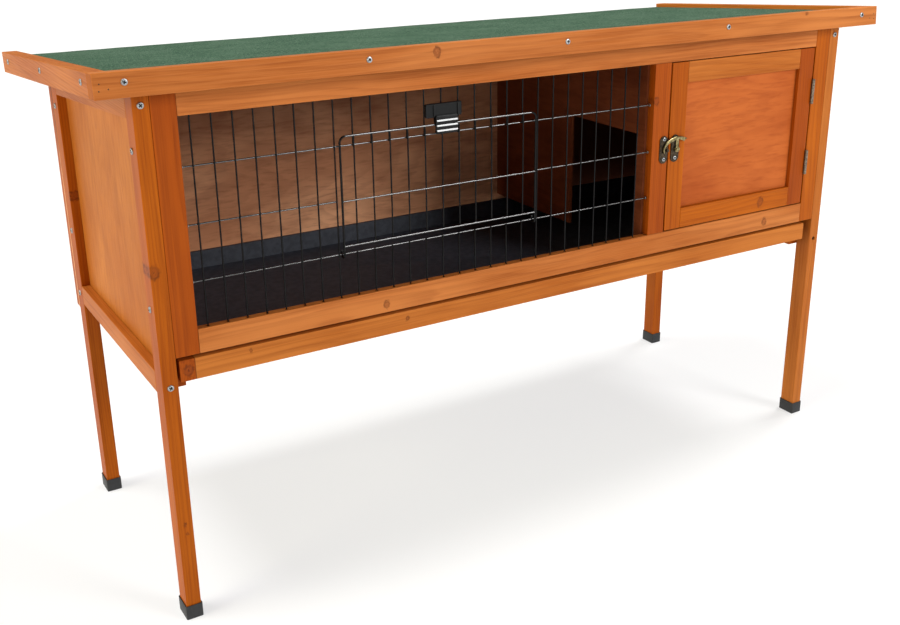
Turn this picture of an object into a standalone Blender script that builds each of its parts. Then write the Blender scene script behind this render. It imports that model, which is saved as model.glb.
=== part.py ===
"""Raised timber rabbit hutch with a wire front, a solid nest door and a slide-out tray.

Metres, +Z up. The front faces -Y and +X is to the right. The origin is on the floor,
under the centre of the whole outline. Every batten, sheet, wire and fitting is its own object.
"""
import math

import bmesh
import bpy
from mathutils import Vector

# ---- driving dimensions -------------------------------------------------------------
BODY_WIDTH = 1.116          # outside the legs
BODY_DEPTH = 0.408          # outside the legs
ROOF_SIDE_LAP = 0.046       # roof past the legs, left and right
ROOF_FRONT_LAP = 0.0305
ROOF_REAR_LAP = 0.0645
ROOF_FRONT_TOP = 0.7065     # top of the front fascia
ROOF_FALL = 0.0388          # from the front edge to the back edge

LEG_WIDTH, LEG_DEPTH = 0.019, 0.028
CAP_HEIGHT, CAP_WALL = 0.020, 0.0012
BATTEN = 0.012              # thickness of the light battens
STILE_WIDTH = 0.0296
MULLION_WIDTH = 0.030
RAIL_HEIGHT = 0.031
PLY = 0.004

FRONT_SILL = 0.361          # underside of the front frame
FRONT_HEAD = 0.647          # underside of the front top rail
SIDE_SILL = 0.311           # underside of the side rails
SIDE_RAIL_HEIGHT = 0.028
MULLION_LEFT = 0.740        # left edge of the mullion, from the left leg's outer face

FASCIA_THICKNESS, FASCIA_HEIGHT = 0.020, 0.028
ROOF_BOARD_THICKNESS, FELT_THICKNESS = 0.009, 0.002
FELT_RECESS = 0.0057        # felt below the tops of the fascias

WIRE_RADIUS = 0.0008
WIRE_COUNT, WIRE_PITCH, FIRST_WIRE = 27, 0.0251, 0.0632
WIRE_ROW_PITCH, LOWEST_WIRE_ROW = 0.0692, 0.449
OPENING_FIRST, OPENING_LAST = 8, 18     # upright wires cut away behind the wire door
WIRE_DOOR_RADIUS = 0.0014
WIRE_DOOR_LEFT, WIRE_DOOR_RIGHT, WIRE_DOOR_TOP, WIRE_DOOR_FOOT = 0.2462, 0.5366, 0.600, 0.460

DOOR_GAP = 0.0025
HINGE_HEIGHT, HINGE_LEAF, KNUCKLE_RADIUS, PIN_RADIUS = 0.038, 0.0007, 0.0025, 0.0010
HINGE_CENTRES = (0.4618, 0.5766)

TRAY_FLOOR = 0.3295         # underside of the tray
TRAY_HEIGHT, TRAY_WALL = 0.0285, 0.0015
DRAWER_FRONT_HEIGHT, DRAWER_FRONT_THICKNESS = 0.0275, 0.020
DRAWER_FRONT_LEFT, DRAWER_FRONT_RIGHT = 0.0225, 1.079

GAP = 0.0003                # between pieces that touch
EDGE = 0.0007               # rounding of sawn edges
CUT_EXTRA = 0.002           # how far a cutter reaches past a face

# ---- derived places -----------------------------------------------------------------
LEFT = -BODY_WIDTH / 2
RIGHT = BODY_WIDTH / 2
ROOF_DEPTH = ROOF_FRONT_LAP + BODY_DEPTH + ROOF_REAR_LAP
ROOF_ANGLE = math.atan2(ROOF_FALL, ROOF_DEPTH)
FASCIA_LEAN = FASCIA_HEIGHT * math.sin(ROOF_ANGLE)
ROOF_FRONT = -ROOF_DEPTH / 2 + FASCIA_LEAN / 2
FRONT = ROOF_FRONT + ROOF_FRONT_LAP
BACK = FRONT + BODY_DEPTH
UNDER_ROOF = FASCIA_HEIGHT - FELT_RECESS - FELT_THICKNESS - ROOF_BOARD_THICKNESS - GAP
DOOR_LEFT = MULLION_LEFT + MULLION_WIDTH + DOOR_GAP
DOOR_RIGHT = BODY_WIDTH - LEG_WIDTH - STILE_WIDTH - DOOR_GAP
DOOR_AXIS = (LEFT + DOOR_RIGHT + DOOR_GAP / 2, FRONT - 0.0024)
LATCH_Z = 0.519
LATCH_PIVOT_X, LATCH_STUD_X = 0.7855, 0.7668
WIRE_ROW_Y = FRONT + 0.0074
WIRE_UPRIGHT_Y = FRONT + 0.0060
WIRE_DOOR_Y = FRONT + 0.0030

FINISHES = {
    "fir": ((0.52, 0.17, 0.045), 0.55, 0.0),
    "ply": ((0.56, 0.23, 0.09), 0.55, 0.0),
    "felt": ((0.03, 0.12, 0.06), 0.95, 0.0),
    "black_plastic": ((0.015, 0.015, 0.016), 0.45, 0.0),
    "tray_plastic": ((0.035, 0.037, 0.042), 0.5, 0.0),
    "black_wire": ((0.02, 0.02, 0.02), 0.4, 0.6),
    "antique_bronze": ((0.16, 0.12, 0.05), 0.35, 0.9),
    "zinc": ((0.62, 0.62, 0.60), 0.3, 1.0),
}


def roof_height(y):
    """Height of the roof board's underside at a world y, less the fitting gap."""
    board_front = ROOF_FRONT_TOP - (FASCIA_HEIGHT - UNDER_ROOF) * math.cos(ROOF_ANGLE)
    return board_front - (y - ROOF_FRONT) * math.tan(ROOF_ANGLE) - GAP


def dress(obj, finish):
    colour, roughness, metallic = FINISHES[finish]
    material = bpy.data.materials.new(f"{obj.name}_{finish}")
    material.use_nodes = True
    shader = material.node_tree.nodes["Principled BSDF"]
    shader.inputs["Base Color"].default_value = (*colour, 1.0)
    shader.inputs["Roughness"].default_value = roughness
    shader.inputs["Metallic"].default_value = metallic
    obj.data.materials.append(material)
    return obj


def add_mesh(name, bm, finish):
    """Turn a bmesh into a named object whose origin is its box's centre."""
    bmesh.ops.recalc_face_normals(bm, faces=bm.faces)
    low = Vector(min(v.co[i] for v in bm.verts) for i in range(3))
    high = Vector(max(v.co[i] for v in bm.verts) for i in range(3))
    centre = (low + high) / 2
    bmesh.ops.translate(bm, vec=-centre, verts=bm.verts)
    mesh = bpy.data.meshes.new(name)
    bm.to_mesh(mesh)
    bm.free()
    obj = bpy.data.objects.new(name, mesh)
    obj.location = centre
    bpy.context.collection.objects.link(obj)
    return dress(obj, finish)


def prism(bm, outline, axis, start, end):
    """Extrude an outline of (a, b) pairs along an axis, the other two axes in X, Y, Z order."""
    def place(a, b, along):
        point = [a, b]
        point.insert("xyz".index(axis), along)
        return point
    low = [bm.verts.new(place(a, b, start)) for a, b in outline]
    high = [bm.verts.new(place(a, b, end)) for a, b in outline]
    count = len(outline)
    bm.faces.new(low)
    bm.faces.new(list(reversed(high)))
    for i in range(count):
        j = (i + 1) % count
        bm.faces.new((low[i], high[i], high[j], low[j]))
    return bm


def box_outline(low, high):
    return [(low[0], low[1]), (high[0], low[1]), (high[0], high[1]), (low[0], high[1])]


def round_edges(obj, width=EDGE):
    """Ease the sawn edges of a batten."""
    bevel = obj.modifiers.new("eased_edges", "BEVEL")
    bevel.width = width
    bevel.segments = 2
    bevel.limit_method = "ANGLE"
    bevel.angle_limit = math.radians(40)
    return obj


def box(name, low, high, finish="fir", edge=EDGE):
    bm = prism(bmesh.new(), box_outline(low[:2], high[:2]), "z", low[2], high[2])
    obj = add_mesh(name, bm, finish)
    return round_edges(obj, edge) if edge else obj


def under_roof(name, low, high, finish="fir", edge=EDGE, sloped_foot=0.0):
    """A box whose top follows the roof; sloped_foot is a height below the roof for its foot."""
    (x0, y0, z0), (x1, y1) = low, high
    feet = [roof_height(y) - sloped_foot if sloped_foot else z0 for y in (y0, y1)]
    outline = [(y0, feet[0]), (y1, feet[1]), (y1, roof_height(y1)), (y0, roof_height(y0))]
    obj = add_mesh(name, prism(bmesh.new(), outline, "x", x0, x1), finish)
    return round_edges(obj, edge) if edge else obj


def circle(centre, radius, count, start=0.0):
    step = 2 * math.pi / count
    return [(centre[0] + radius * math.cos(start + i * step),
             centre[1] + radius * math.sin(start + i * step)) for i in range(count)]


def rod(name, axis, centre, radius, start, end, finish, sides=16):
    """A round bar along an axis, its centre given on the other two axes in order."""
    bm = prism(bmesh.new(), circle(centre, radius, sides), axis, start, end)
    return add_mesh(name, bm, finish)


def hide_cutter(cutter):
    cutter.hide_render = True
    cutter.display_type = "WIRE"


def combine(obj, other, operation):
    """Apply a boolean with another object, which is then removed."""
    modifier = obj.modifiers.new(operation.lower(), "BOOLEAN")
    modifier.operation = operation
    modifier.object = other
    hide_cutter(other)
    bpy.context.view_layer.update()
    graph = bpy.context.evaluated_depsgraph_get()
    mesh = bpy.data.meshes.new_from_object(obj.evaluated_get(graph))
    obj.modifiers.clear()
    obj.data = mesh
    bpy.data.objects.remove(other)
    return obj


def join_all(obj, others):
    for other in others:
        combine(obj, other, "UNION")
    return obj


def smooth(obj, angle=40):
    obj.data.shade_smooth()
    obj.data.set_sharp_from_angle(angle=math.radians(angle))
    return obj


def hang(axis_name, place, names):
    """Parent pieces that move together to an empty on their joint's axis, where they stand."""
    axis = bpy.data.objects.new(axis_name, None)
    axis.location = place
    bpy.context.collection.objects.link(axis)
    for name in names:
        piece = bpy.data.objects[name]
        piece.location -= Vector(place)
        piece.parent = axis
    return axis


# ---- legs, caps and their screws ----------------------------------------------------
def build_legs():
    cap_floor = 0.002
    for end, y0 in (("front", FRONT), ("rear", BACK - LEG_DEPTH)):
        for side, x0 in (("left", LEFT), ("right", RIGHT - LEG_WIDTH)):
            leg = under_roof(f"leg_{end}_{side}", (x0, y0, cap_floor + GAP),
                             (x0 + LEG_WIDTH, y0 + LEG_DEPTH))
            build_cap(f"foot_cap_{end}_{side}", x0, y0, cap_floor)
            if end == "front":
                build_leg_screw(f"leg_screw_{side}", leg, x0 + LEG_WIDTH / 2,
                                SIDE_SILL + SIDE_RAIL_HEIGHT / 2)


def build_cap(name, x0, y0, floor):
    reach = CAP_WALL + GAP
    cap = box(name, (x0 - reach, y0 - reach, 0.0),
              (x0 + LEG_WIDTH + reach, y0 + LEG_DEPTH + reach, CAP_HEIGHT), "black_plastic", EDGE)
    inside = box("cap_inside", (x0 - GAP, y0 - GAP, floor),
                 (x0 + LEG_WIDTH + GAP, y0 + LEG_DEPTH + GAP, CAP_HEIGHT + CUT_EXTRA), edge=0)
    combine(cap, inside, "DIFFERENCE")


def build_leg_screw(name, leg, x, z):
    """A pan-head screw through the leg's face into the end of the side rail."""
    shank, head, depth = 0.0019, 0.0042, 0.012
    hole = rod("screw_hole", "y", (x, z), shank + GAP, FRONT - CUT_EXTRA, FRONT + depth + GAP, "zinc")
    combine(leg, hole, "DIFFERENCE")
    screw = rod(name, "y", (x, z), head, FRONT - GAP - 0.0016, FRONT - GAP, "zinc", 20)
    smooth(combine(screw, rod("shank", "y", (x, z), shank, FRONT - 2 * GAP, FRONT + depth, "zinc"),
                   "UNION"))


# ---- sides and back -----------------------------------------------------------------
def build_sides():
    inner_front, inner_back = FRONT + LEG_DEPTH + GAP, BACK - LEG_DEPTH - GAP
    top_rail_height = 0.040
    sheet_foot = SIDE_SILL + 0.005
    for side, face, inward in (("left", LEFT, 1), ("right", RIGHT, -1)):
        def span(start, end):
            return sorted((face + inward * start, face + inward * end))
        x0, x1 = span(0.0, BATTEN)
        box(f"side_bottom_rail_{side}", (x0, inner_front, SIDE_SILL),
            (x1, inner_back, SIDE_SILL + SIDE_RAIL_HEIGHT))
        under_roof(f"side_top_rail_{side}", (x0, inner_front, 0), (x1, inner_back),
                   sloped_foot=top_rail_height)
        x0, x1 = span(BATTEN + GAP, BATTEN + GAP + PLY)
        under_roof(f"side_panel_{side}", (x0, inner_front, sheet_foot), (x1, inner_back), "ply", 0)
        x0, x1 = span(LEG_WIDTH - 0.0020, 0.0366)
        box(f"tray_runner_{side}", (x0, inner_front, SIDE_SILL), (x1, inner_back, TRAY_FLOOR - GAP))


def build_back():
    sheet, batten_y = BACK + GAP, BACK + PLY + 2 * GAP
    sill, width = SIDE_SILL - 0.013, 0.030
    under_roof("back_panel", (LEFT, sheet, sill), (RIGHT, sheet + PLY), "ply", 0)
    back_face = batten_y + BATTEN
    for side, x0 in (("left", LEFT), ("right", RIGHT - width)):
        under_roof(f"rear_stile_{side}", (x0, batten_y, sill), (x0 + width, back_face))
    x0, x1 = LEFT + width + GAP, RIGHT - width - GAP
    box("rear_bottom_rail", (x0, batten_y, sill), (x1, back_face, sill + width))
    under_roof("rear_top_rail", (x0, batten_y, 0), (x1, back_face), sloped_foot=width)
    stile_top = roof_height(back_face) - width - 2 * GAP
    box("rear_stile_middle", (-width / 2, batten_y, sill + width + GAP),
        (width / 2, back_face, stile_top))


# ---- front frame --------------------------------------------------------------------
def build_front_frame():
    depth = FRONT + BATTEN
    inner_left = LEFT + LEG_WIDTH + GAP
    stile_right_edge = LEFT + LEG_WIDTH + STILE_WIDTH
    for side, x0 in (("left", inner_left), ("right", -stile_right_edge)):
        under_roof(f"front_stile_{side}", (x0, FRONT, FRONT_SILL),
                   (x0 + STILE_WIDTH - GAP, depth))
    rail_left, rail_right = stile_right_edge + GAP, -stile_right_edge - GAP
    box("front_bottom_rail", (rail_left, FRONT, FRONT_SILL),
        (rail_right, depth, FRONT_SILL + RAIL_HEIGHT))
    under_roof("front_top_rail", (rail_left, FRONT, FRONT_HEAD), (rail_right, depth))
    x0 = LEFT + MULLION_LEFT
    box("front_mullion", (x0, FRONT, FRONT_SILL + RAIL_HEIGHT + GAP),
        (x0 + MULLION_WIDTH, depth, FRONT_HEAD - GAP))


# ---- partition between the run and the nest -----------------------------------------
def build_partition():
    foot, doorway_top = 0.364, 0.542
    doorway = (FRONT + 0.028, FRONT + 0.190)
    front, back = FRONT + BATTEN + GAP, BACK
    x0 = LEFT + MULLION_LEFT - PLY - GAP
    sheet = under_roof("partition", (x0, front, foot), (x0 + PLY, back), "ply", 0)
    hole = box("doorway", (x0 - CUT_EXTRA, doorway[0], foot - CUT_EXTRA),
               (x0 + PLY + CUT_EXTRA, doorway[1], doorway_top), edge=0)
    combine(sheet, hole, "DIFFERENCE")
    batten_x = x0 + PLY + GAP
    for end, y0, width in (("front", front, 0.0155), ("rear", back - 0.020, 0.020)):
        under_roof(f"partition_batten_{end}", (batten_x, y0, foot + 0.030),
                   (batten_x + BATTEN, y0 + width))


# ---- wire front and its small door --------------------------------------------------
def wire_x(index):
    return LEFT + FIRST_WIRE + WIRE_PITCH * index


def wire_row(index):
    return LOWEST_WIRE_ROW + WIRE_ROW_PITCH * index


def build_mesh_front():
    """Welded wire: uprights in front of three level wires, with a gap for the wire door."""
    foot, head = FRONT_SILL + RAIL_HEIGHT + GAP, FRONT_HEAD - GAP
    left, right = LEFT + LEG_WIDTH + STILE_WIDTH + GAP, LEFT + MULLION_LEFT - GAP

    def level(x0, x1, z):
        return rod("level", "x", (WIRE_ROW_Y, z), WIRE_RADIUS, x0, x1, "black_wire", 6)

    def upright(x, z0, z1):
        return rod("upright", "z", (x, WIRE_UPRIGHT_Y), WIRE_RADIUS, z0, z1, "black_wire", 6)

    middle_ends = (wire_x(OPENING_FIRST - 1) + WIRE_RADIUS * 2, wire_x(OPENING_LAST + 1) - WIRE_RADIUS * 2)
    levels = [level(left, right, wire_row(0)), level(left, right, wire_row(2)),
              level(left, middle_ends[0], wire_row(1)), level(middle_ends[1], right, wire_row(1))]
    uprights = []
    for index in range(WIRE_COUNT):
        if OPENING_FIRST <= index <= OPENING_LAST:
            overrun = WIRE_RADIUS * 2
            uprights.append(upright(wire_x(index), foot, wire_row(0) + overrun))
            uprights.append(upright(wire_x(index), wire_row(2) - overrun, head))
        else:
            uprights.append(upright(wire_x(index), foot, head))
    panel = rod("mesh_panel", "z", (wire_x(0), WIRE_UPRIGHT_Y), WIRE_RADIUS, foot, head,
                "black_wire", 6)
    bpy.data.objects.remove(uprights.pop(0))
    join_all(panel, levels + uprights)


def build_wire_door():
    """A bent wire loop with its own bars, hung by two eyes from the lowest level wire."""
    left, right = LEFT + WIRE_DOOR_LEFT, LEFT + WIRE_DOOR_RIGHT
    corner, corner_steps = 0.010, 4
    points = [(left, wire_row(0) + 0.0006)]
    for cx, start in ((left + corner, math.pi), (right - corner, math.pi / 2)):
        for step in range(corner_steps + 1):
            angle = start - step * math.pi / 2 / corner_steps
            points.append((cx + corner * math.cos(angle),
                           WIRE_DOOR_TOP - corner + corner * math.sin(angle)))
    points.append((right, wire_row(0) + 0.0006))
    curve = bpy.data.curves.new("wire_door_loop", "CURVE")
    curve.dimensions = "3D"
    curve.bevel_depth = WIRE_DOOR_RADIUS
    curve.bevel_resolution = 1
    curve.use_fill_caps = True
    spline = curve.splines.new("POLY")
    spline.points.add(len(points) - 1)
    for point, (x, z) in zip(spline.points, points):
        point.co = (x, WIRE_DOOR_Y, z, 1.0)
    loop = bpy.data.objects.new("wire_door_guide", curve)
    bpy.context.collection.objects.link(loop)
    bpy.context.view_layer.update()
    graph = bpy.context.evaluated_depsgraph_get()
    bm = bmesh.new()
    bm.from_mesh(bpy.data.meshes.new_from_object(loop.evaluated_get(graph)))
    bmesh.ops.remove_doubles(bm, verts=bm.verts, dist=1e-6)
    bpy.data.objects.remove(loop)
    door = add_mesh("wire_door", bm, "black_wire")

    bars = [rod("bar", "x", (WIRE_DOOR_Y, z), radius, left, right, "black_wire", 6)
            for z, radius in ((WIRE_DOOR_FOOT, WIRE_DOOR_RADIUS * 0.9), (wire_row(1), WIRE_RADIUS))]
    for index in range(OPENING_FIRST, OPENING_LAST + 1):
        bars.append(rod("bar", "z", (wire_x(index), WIRE_DOOR_Y + 0.0006), WIRE_RADIUS,
                        WIRE_DOOR_FOOT, WIRE_DOOR_TOP, "black_wire", 6))
    eyes = [eye(x) for x in (left, right)]
    join_all(door, bars + eyes)


def eye(x):
    """A small ring round the lowest level wire."""
    ring, tube = 0.0024, 0.0012
    bm = bmesh.new()
    around, across = 12, 6
    rows = []
    for i in range(around):
        turn = 2 * math.pi * i / around
        row = []
        for j in range(across):
            roll = 2 * math.pi * j / across
            reach = ring + tube * math.cos(roll)
            row.append(bm.verts.new((x + tube * math.sin(roll), WIRE_ROW_Y + reach * math.cos(turn),
                                     wire_row(0) + reach * math.sin(turn))))
        rows.append(row)
    for i in range(around):
        for j in range(across):
            bm.faces.new((rows[i][j], rows[(i + 1) % around][j],
                          rows[(i + 1) % around][(j + 1) % across], rows[i][(j + 1) % across]))
    return add_mesh("eye", bm, "black_wire")


def build_wire_catch():
    """A plastic housing on the wire door's top wire, with a ribbed slider in front of it."""
    x0, x1 = LEFT + 0.365, LEFT + 0.418
    slider_x = (LEFT + 0.378, LEFT + 0.4105)
    back, seat = FRONT + 0.0048, FRONT + 0.0016
    housing = box("catch_housing", (x0, seat, 0.609), (x1, back, 0.627), "black_plastic", 0.0006)
    saddle = box("saddle", (slider_x[0], seat, WIRE_DOOR_TOP + WIRE_DOOR_RADIUS + GAP),
                 (slider_x[1], back, 0.610), edge=0)
    combine(housing, saddle, "UNION")
    front = seat - GAP
    slider = box("catch_slider", (slider_x[0], front - 0.0022, 0.588),
                 (slider_x[1], front, 0.6115), "black_plastic", 0.0005)
    ribs = [box("rib", (slider_x[0] + 0.001, front - 0.0038, z - 0.0011),
                (slider_x[1] - 0.001, front - 0.0020, z + 0.0011), edge=0)
            for z in (0.5925, 0.5995, 0.6065)]
    join_all(slider, ribs)


# ---- solid nest door ----------------------------------------------------------------
def build_door():
    width = 0.0305
    x0, x1 = LEFT + DOOR_LEFT, LEFT + DOOR_RIGHT
    z0, z1 = FRONT_SILL + RAIL_HEIGHT + 0.002, FRONT_HEAD - 0.0015
    depth = FRONT + BATTEN
    box("door_stile_latch", (x0, FRONT, z0), (x0 + width, depth, z1))
    box("door_stile_hinge", (x1 - width, FRONT, z0), (x1, depth, z1))
    inner = (x0 + width + GAP, x1 - width - GAP)
    box("door_bottom_rail", (inner[0], FRONT, z0), (inner[1], depth, z0 + width))
    box("door_top_rail", (inner[0], FRONT, z1 - width), (inner[1], depth, z1))
    box("door_panel", (inner[0], FRONT + 0.0065, z0 + width + GAP),
        (inner[1], FRONT + 0.0065 + PLY, z1 - width - GAP), "ply", 0)


def hinge_leaf(name, side, middle, knuckles, finish="zinc"):
    """A flat leaf in the gap beside the door, rolled round the pin at its own knuckles."""
    axis_x, axis_y = DOOR_AXIS
    clear, depth = 0.0004, FRONT + 0.010
    inner = axis_x + side * 0.0003
    outer = inner + side * HINGE_LEAF
    xs = sorted((inner, outer))
    bottom, top = middle - HINGE_HEIGHT / 2, middle + HINGE_HEIGHT / 2
    leaf = box(name, (xs[0], FRONT + clear, bottom), (xs[1], depth, top), finish, edge=0)
    for z0, z1 in knuckles:
        barrel = rod("barrel", "z", (axis_x, axis_y), KNUCKLE_RADIUS, z0, z1, finish, 20)
        tab = box("tab", (xs[0], axis_y + PIN_RADIUS + 0.0009, z0), (xs[1], FRONT + 0.001, z1),
                  finish, edge=0)
        join_all(leaf, [barrel, tab])
    bore = rod("bore", "z", (axis_x, axis_y), PIN_RADIUS + GAP, bottom - CUT_EXTRA, top + CUT_EXTRA,
               finish, 16)
    return smooth(combine(leaf, bore, "DIFFERENCE"))


def build_hinges():
    """Two butt hinges: the frame leaf has the outer knuckles, the door leaf the middle one."""
    for name, middle in zip(("hinge_lower", "hinge_upper"), HINGE_CENTRES):
        third = HINGE_HEIGHT / 6
        bottom, top = middle - HINGE_HEIGHT / 2, middle + HINGE_HEIGHT / 2
        hinge_leaf(f"{name}_frame_leaf", 1, middle,
                   ((bottom, middle - third - GAP), (middle + third + GAP, top)))
        hinge_leaf(f"{name}_door_leaf", -1, middle, ((middle - third, middle + third),))
        pin = rod(f"{name}_pin", "z", DOOR_AXIS, PIN_RADIUS, bottom + GAP, top + GAP, "zinc", 16)
        head = rod("head", "z", DOOR_AXIS, KNUCKLE_RADIUS * 0.9, top + GAP, top + 0.0012, "zinc", 16)
        smooth(combine(pin, head, "UNION"))


# ---- horn latch ---------------------------------------------------------------------
def capsule(x, z0, z1, width, steps=8):
    """Outline of an upright plate with round ends."""
    radius = width / 2
    outline = []
    for centre, start in ((z1 - radius, 0.0), (z0 + radius, math.pi)):
        for step in range(steps + 1):
            angle = start + math.pi * step / steps
            outline.append((x + radius * math.cos(angle), centre + radius * math.sin(angle)))
    return outline


def build_latch():
    plate_back, plate_front = FRONT - GAP, FRONT - 0.0015
    pivot_x, stud_x = LEFT + LATCH_PIVOT_X, LEFT + LATCH_STUD_X
    width, bottom, top = 0.0155, LATCH_Z - 0.0195, LATCH_Z + 0.0215
    for name, x, post_x, post, reach in (
            ("latch_frame_plate", LEFT + 0.7617, stud_x, 0.0022, 0.0062),
            ("latch_door_plate", LEFT + 0.7834, pivot_x, 0.0020, 0.0052)):
        bm = prism(bmesh.new(), capsule(x, bottom, top, width), "y", plate_front, plate_back)
        plate = add_mesh(name, bm, "antique_bronze")
        stud = rod("stud", "y", (post_x, LATCH_Z), post, FRONT - reach, plate_front + GAP,
                   "antique_bronze", 16)
        smooth(combine(plate, stud, "UNION"))
    rivet = rod("latch_rivet", "y", (pivot_x, LATCH_Z), 0.0034, FRONT - 0.0067, FRONT - 0.0055,
                "antique_bronze", 20)
    smooth(rivet)
    build_hook(pivot_x, FRONT - 0.0049, FRONT - 0.0019)


def build_hook(pivot_x, front, back):
    """A horn that turns on the door plate and drops over the stud on the frame plate."""
    outline = horn_outline(pivot_x, LATCH_Z)
    hook = add_mesh("latch_hook", prism(bmesh.new(), outline, "y", front, back), "antique_bronze")
    hub = rod("hub", "y", (pivot_x, LATCH_Z), 0.0043, front, back, "antique_bronze", 20)
    neck = box("neck", (pivot_x - 0.0026, front, LATCH_Z), (pivot_x + 0.0026, back, LATCH_Z + 0.016),
               edge=0)
    join_all(hook, [hub, neck])
    hole = rod("hole", "y", (pivot_x, LATCH_Z), 0.0023, front - CUT_EXTRA, back + CUT_EXTRA,
               "antique_bronze", 16)
    smooth(combine(hook, hole, "DIFFERENCE"))


def horn_outline(pivot_x, pivot_z):
    """The horn's band: an ellipse arc from the crook over the top to a flared tail."""
    centre_x, centre_z = pivot_x - 0.0010, pivot_z + 0.0010
    reach_x, reach_z = 0.0255, 0.0180
    steps, from_angle, to_angle = 20, math.radians(194), math.radians(42)
    outer, inner = [], []
    for step in range(steps + 1):
        share = step / steps
        angle = from_angle + (to_angle - from_angle) * share
        width = 0.0030 + 0.0030 * math.sin(math.pi * share) ** 2 + 0.0040 * max(0.0, share - 0.75) * 4
        direction = Vector((math.cos(angle), math.sin(angle)))
        lift = 0.0015 * max(0.0, share - 0.8) * 5
        rim = Vector((reach_x * direction.x, reach_z * direction.y + lift))
        hollow = rim - direction * width
        outer.append((centre_x + rim.x, centre_z + rim.y))
        inner.append((centre_x + hollow.x, centre_z + hollow.y))
    return outer + list(reversed(inner))


# ---- roof ---------------------------------------------------------------------------
def build_roof():
    """Fascias, board and felt, laid out flat and turned together about the roof's front edge."""
    slope = bpy.data.objects.new("roof_slope", None)
    slope.location = (0.0, ROOF_FRONT, ROOF_FRONT_TOP)
    slope.rotation_euler = (-ROOF_ANGLE, 0.0, 0.0)
    bpy.context.collection.objects.link(slope)
    length = ROOF_DEPTH / math.cos(ROOF_ANGLE)
    half = BODY_WIDTH / 2 + ROOF_SIDE_LAP
    thick, tall = FASCIA_THICKNESS, FASCIA_HEIGHT
    inside = half - thick - GAP
    board_top = -FELT_RECESS - FELT_THICKNESS - GAP
    pieces = [
        box("front_fascia", (-half, 0.0, -tall), (half, thick, 0.0)),
        box("left_fascia", (-half, thick + GAP, -tall), (-half + thick, length, 0.0)),
        box("right_fascia", (half - thick, thick + GAP, -tall), (half, length, 0.0)),
        box("roof_board", (-inside, thick + GAP, board_top - ROOF_BOARD_THICKNESS),
            (inside, length - 0.002, board_top), "ply", 0),
        box("roof_felt", (-inside, thick + GAP, board_top + GAP),
            (inside, length - 0.001, -FELT_RECESS), "felt", 0),
    ]
    for piece in pieces:
        piece.parent = slope


# ---- tray and drawer front ----------------------------------------------------------
def build_drawer():
    x0, x1 = LEFT + 0.024, RIGHT - 0.024
    y0, y1 = FRONT + DRAWER_FRONT_THICKNESS + GAP, BACK - 0.012
    tray = box("tray", (x0, y0, TRAY_FLOOR), (x1, y1, TRAY_FLOOR + TRAY_HEIGHT), "tray_plastic", 0)
    hollow = box("tray_hollow", (x0 + TRAY_WALL, y0 + TRAY_WALL, TRAY_FLOOR + TRAY_WALL),
                 (x1 - TRAY_WALL, y1 - TRAY_WALL, TRAY_FLOOR + TRAY_HEIGHT + CUT_EXTRA), edge=0)
    combine(tray, hollow, "DIFFERENCE")
    box("drawer_front", (LEFT + DRAWER_FRONT_LEFT, FRONT, TRAY_FLOOR - 0.0005),
        (LEFT + DRAWER_FRONT_RIGHT, FRONT + DRAWER_FRONT_THICKNESS,
         TRAY_FLOOR - 0.0005 + DRAWER_FRONT_HEIGHT))


def build_bearer():
    """A batten under the tray's middle, between the two runners."""
    reach = 0.0366 + GAP
    box("tray_bearer", (LEFT + reach, -0.014, SIDE_SILL), (RIGHT - reach, 0.014, TRAY_FLOOR - GAP))


def hang_moving_pieces():
    door_parts = ["door_stile_latch", "door_stile_hinge", "door_bottom_rail", "door_top_rail",
                  "door_panel", "hinge_lower_door_leaf", "hinge_upper_door_leaf",
                  "latch_door_plate", "latch_rivet"]
    hang("door_axis", (*DOOR_AXIS, HINGE_CENTRES[0]), door_parts)
    hang("latch_axis", (LEFT + LATCH_PIVOT_X, FRONT, LATCH_Z), ["latch_hook"])
    hang("wire_door_axis", (0.0, WIRE_ROW_Y, wire_row(0)), ["wire_door", "catch_housing"])
    hang("catch_slide", (LEFT + 0.3942, FRONT, WIRE_DOOR_TOP), ["catch_slider"])
    hang("drawer_slide", (0.0, FRONT, TRAY_FLOOR), ["tray", "drawer_front"])


def main():
    for obj in list(bpy.data.objects):
        bpy.data.objects.remove(obj)
    build_legs()
    build_sides()
    build_back()
    build_front_frame()
    build_partition()
    build_mesh_front()
    build_wire_door()
    build_wire_catch()
    build_door()
    build_hinges()
    build_latch()
    build_roof()
    build_drawer()
    build_bearer()
    hang_moving_pieces()


main()
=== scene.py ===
"""Looks of a raised timber rabbit hutch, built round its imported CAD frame.

The frame gives every size and place. Battens and sheets keep their CAD meshes and get
solid-grain finishes; wires, fittings, felt, tray, caps and fasteners are modelled here.
"""

import logging
import math
from contextlib import contextmanager
from dataclasses import dataclass, field
from enum import Enum
from typing import Callable, Iterable, Iterator, Optional, Sequence

import bmesh
import bpy
from mathutils import Euler, Matrix, Vector, noise


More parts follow.
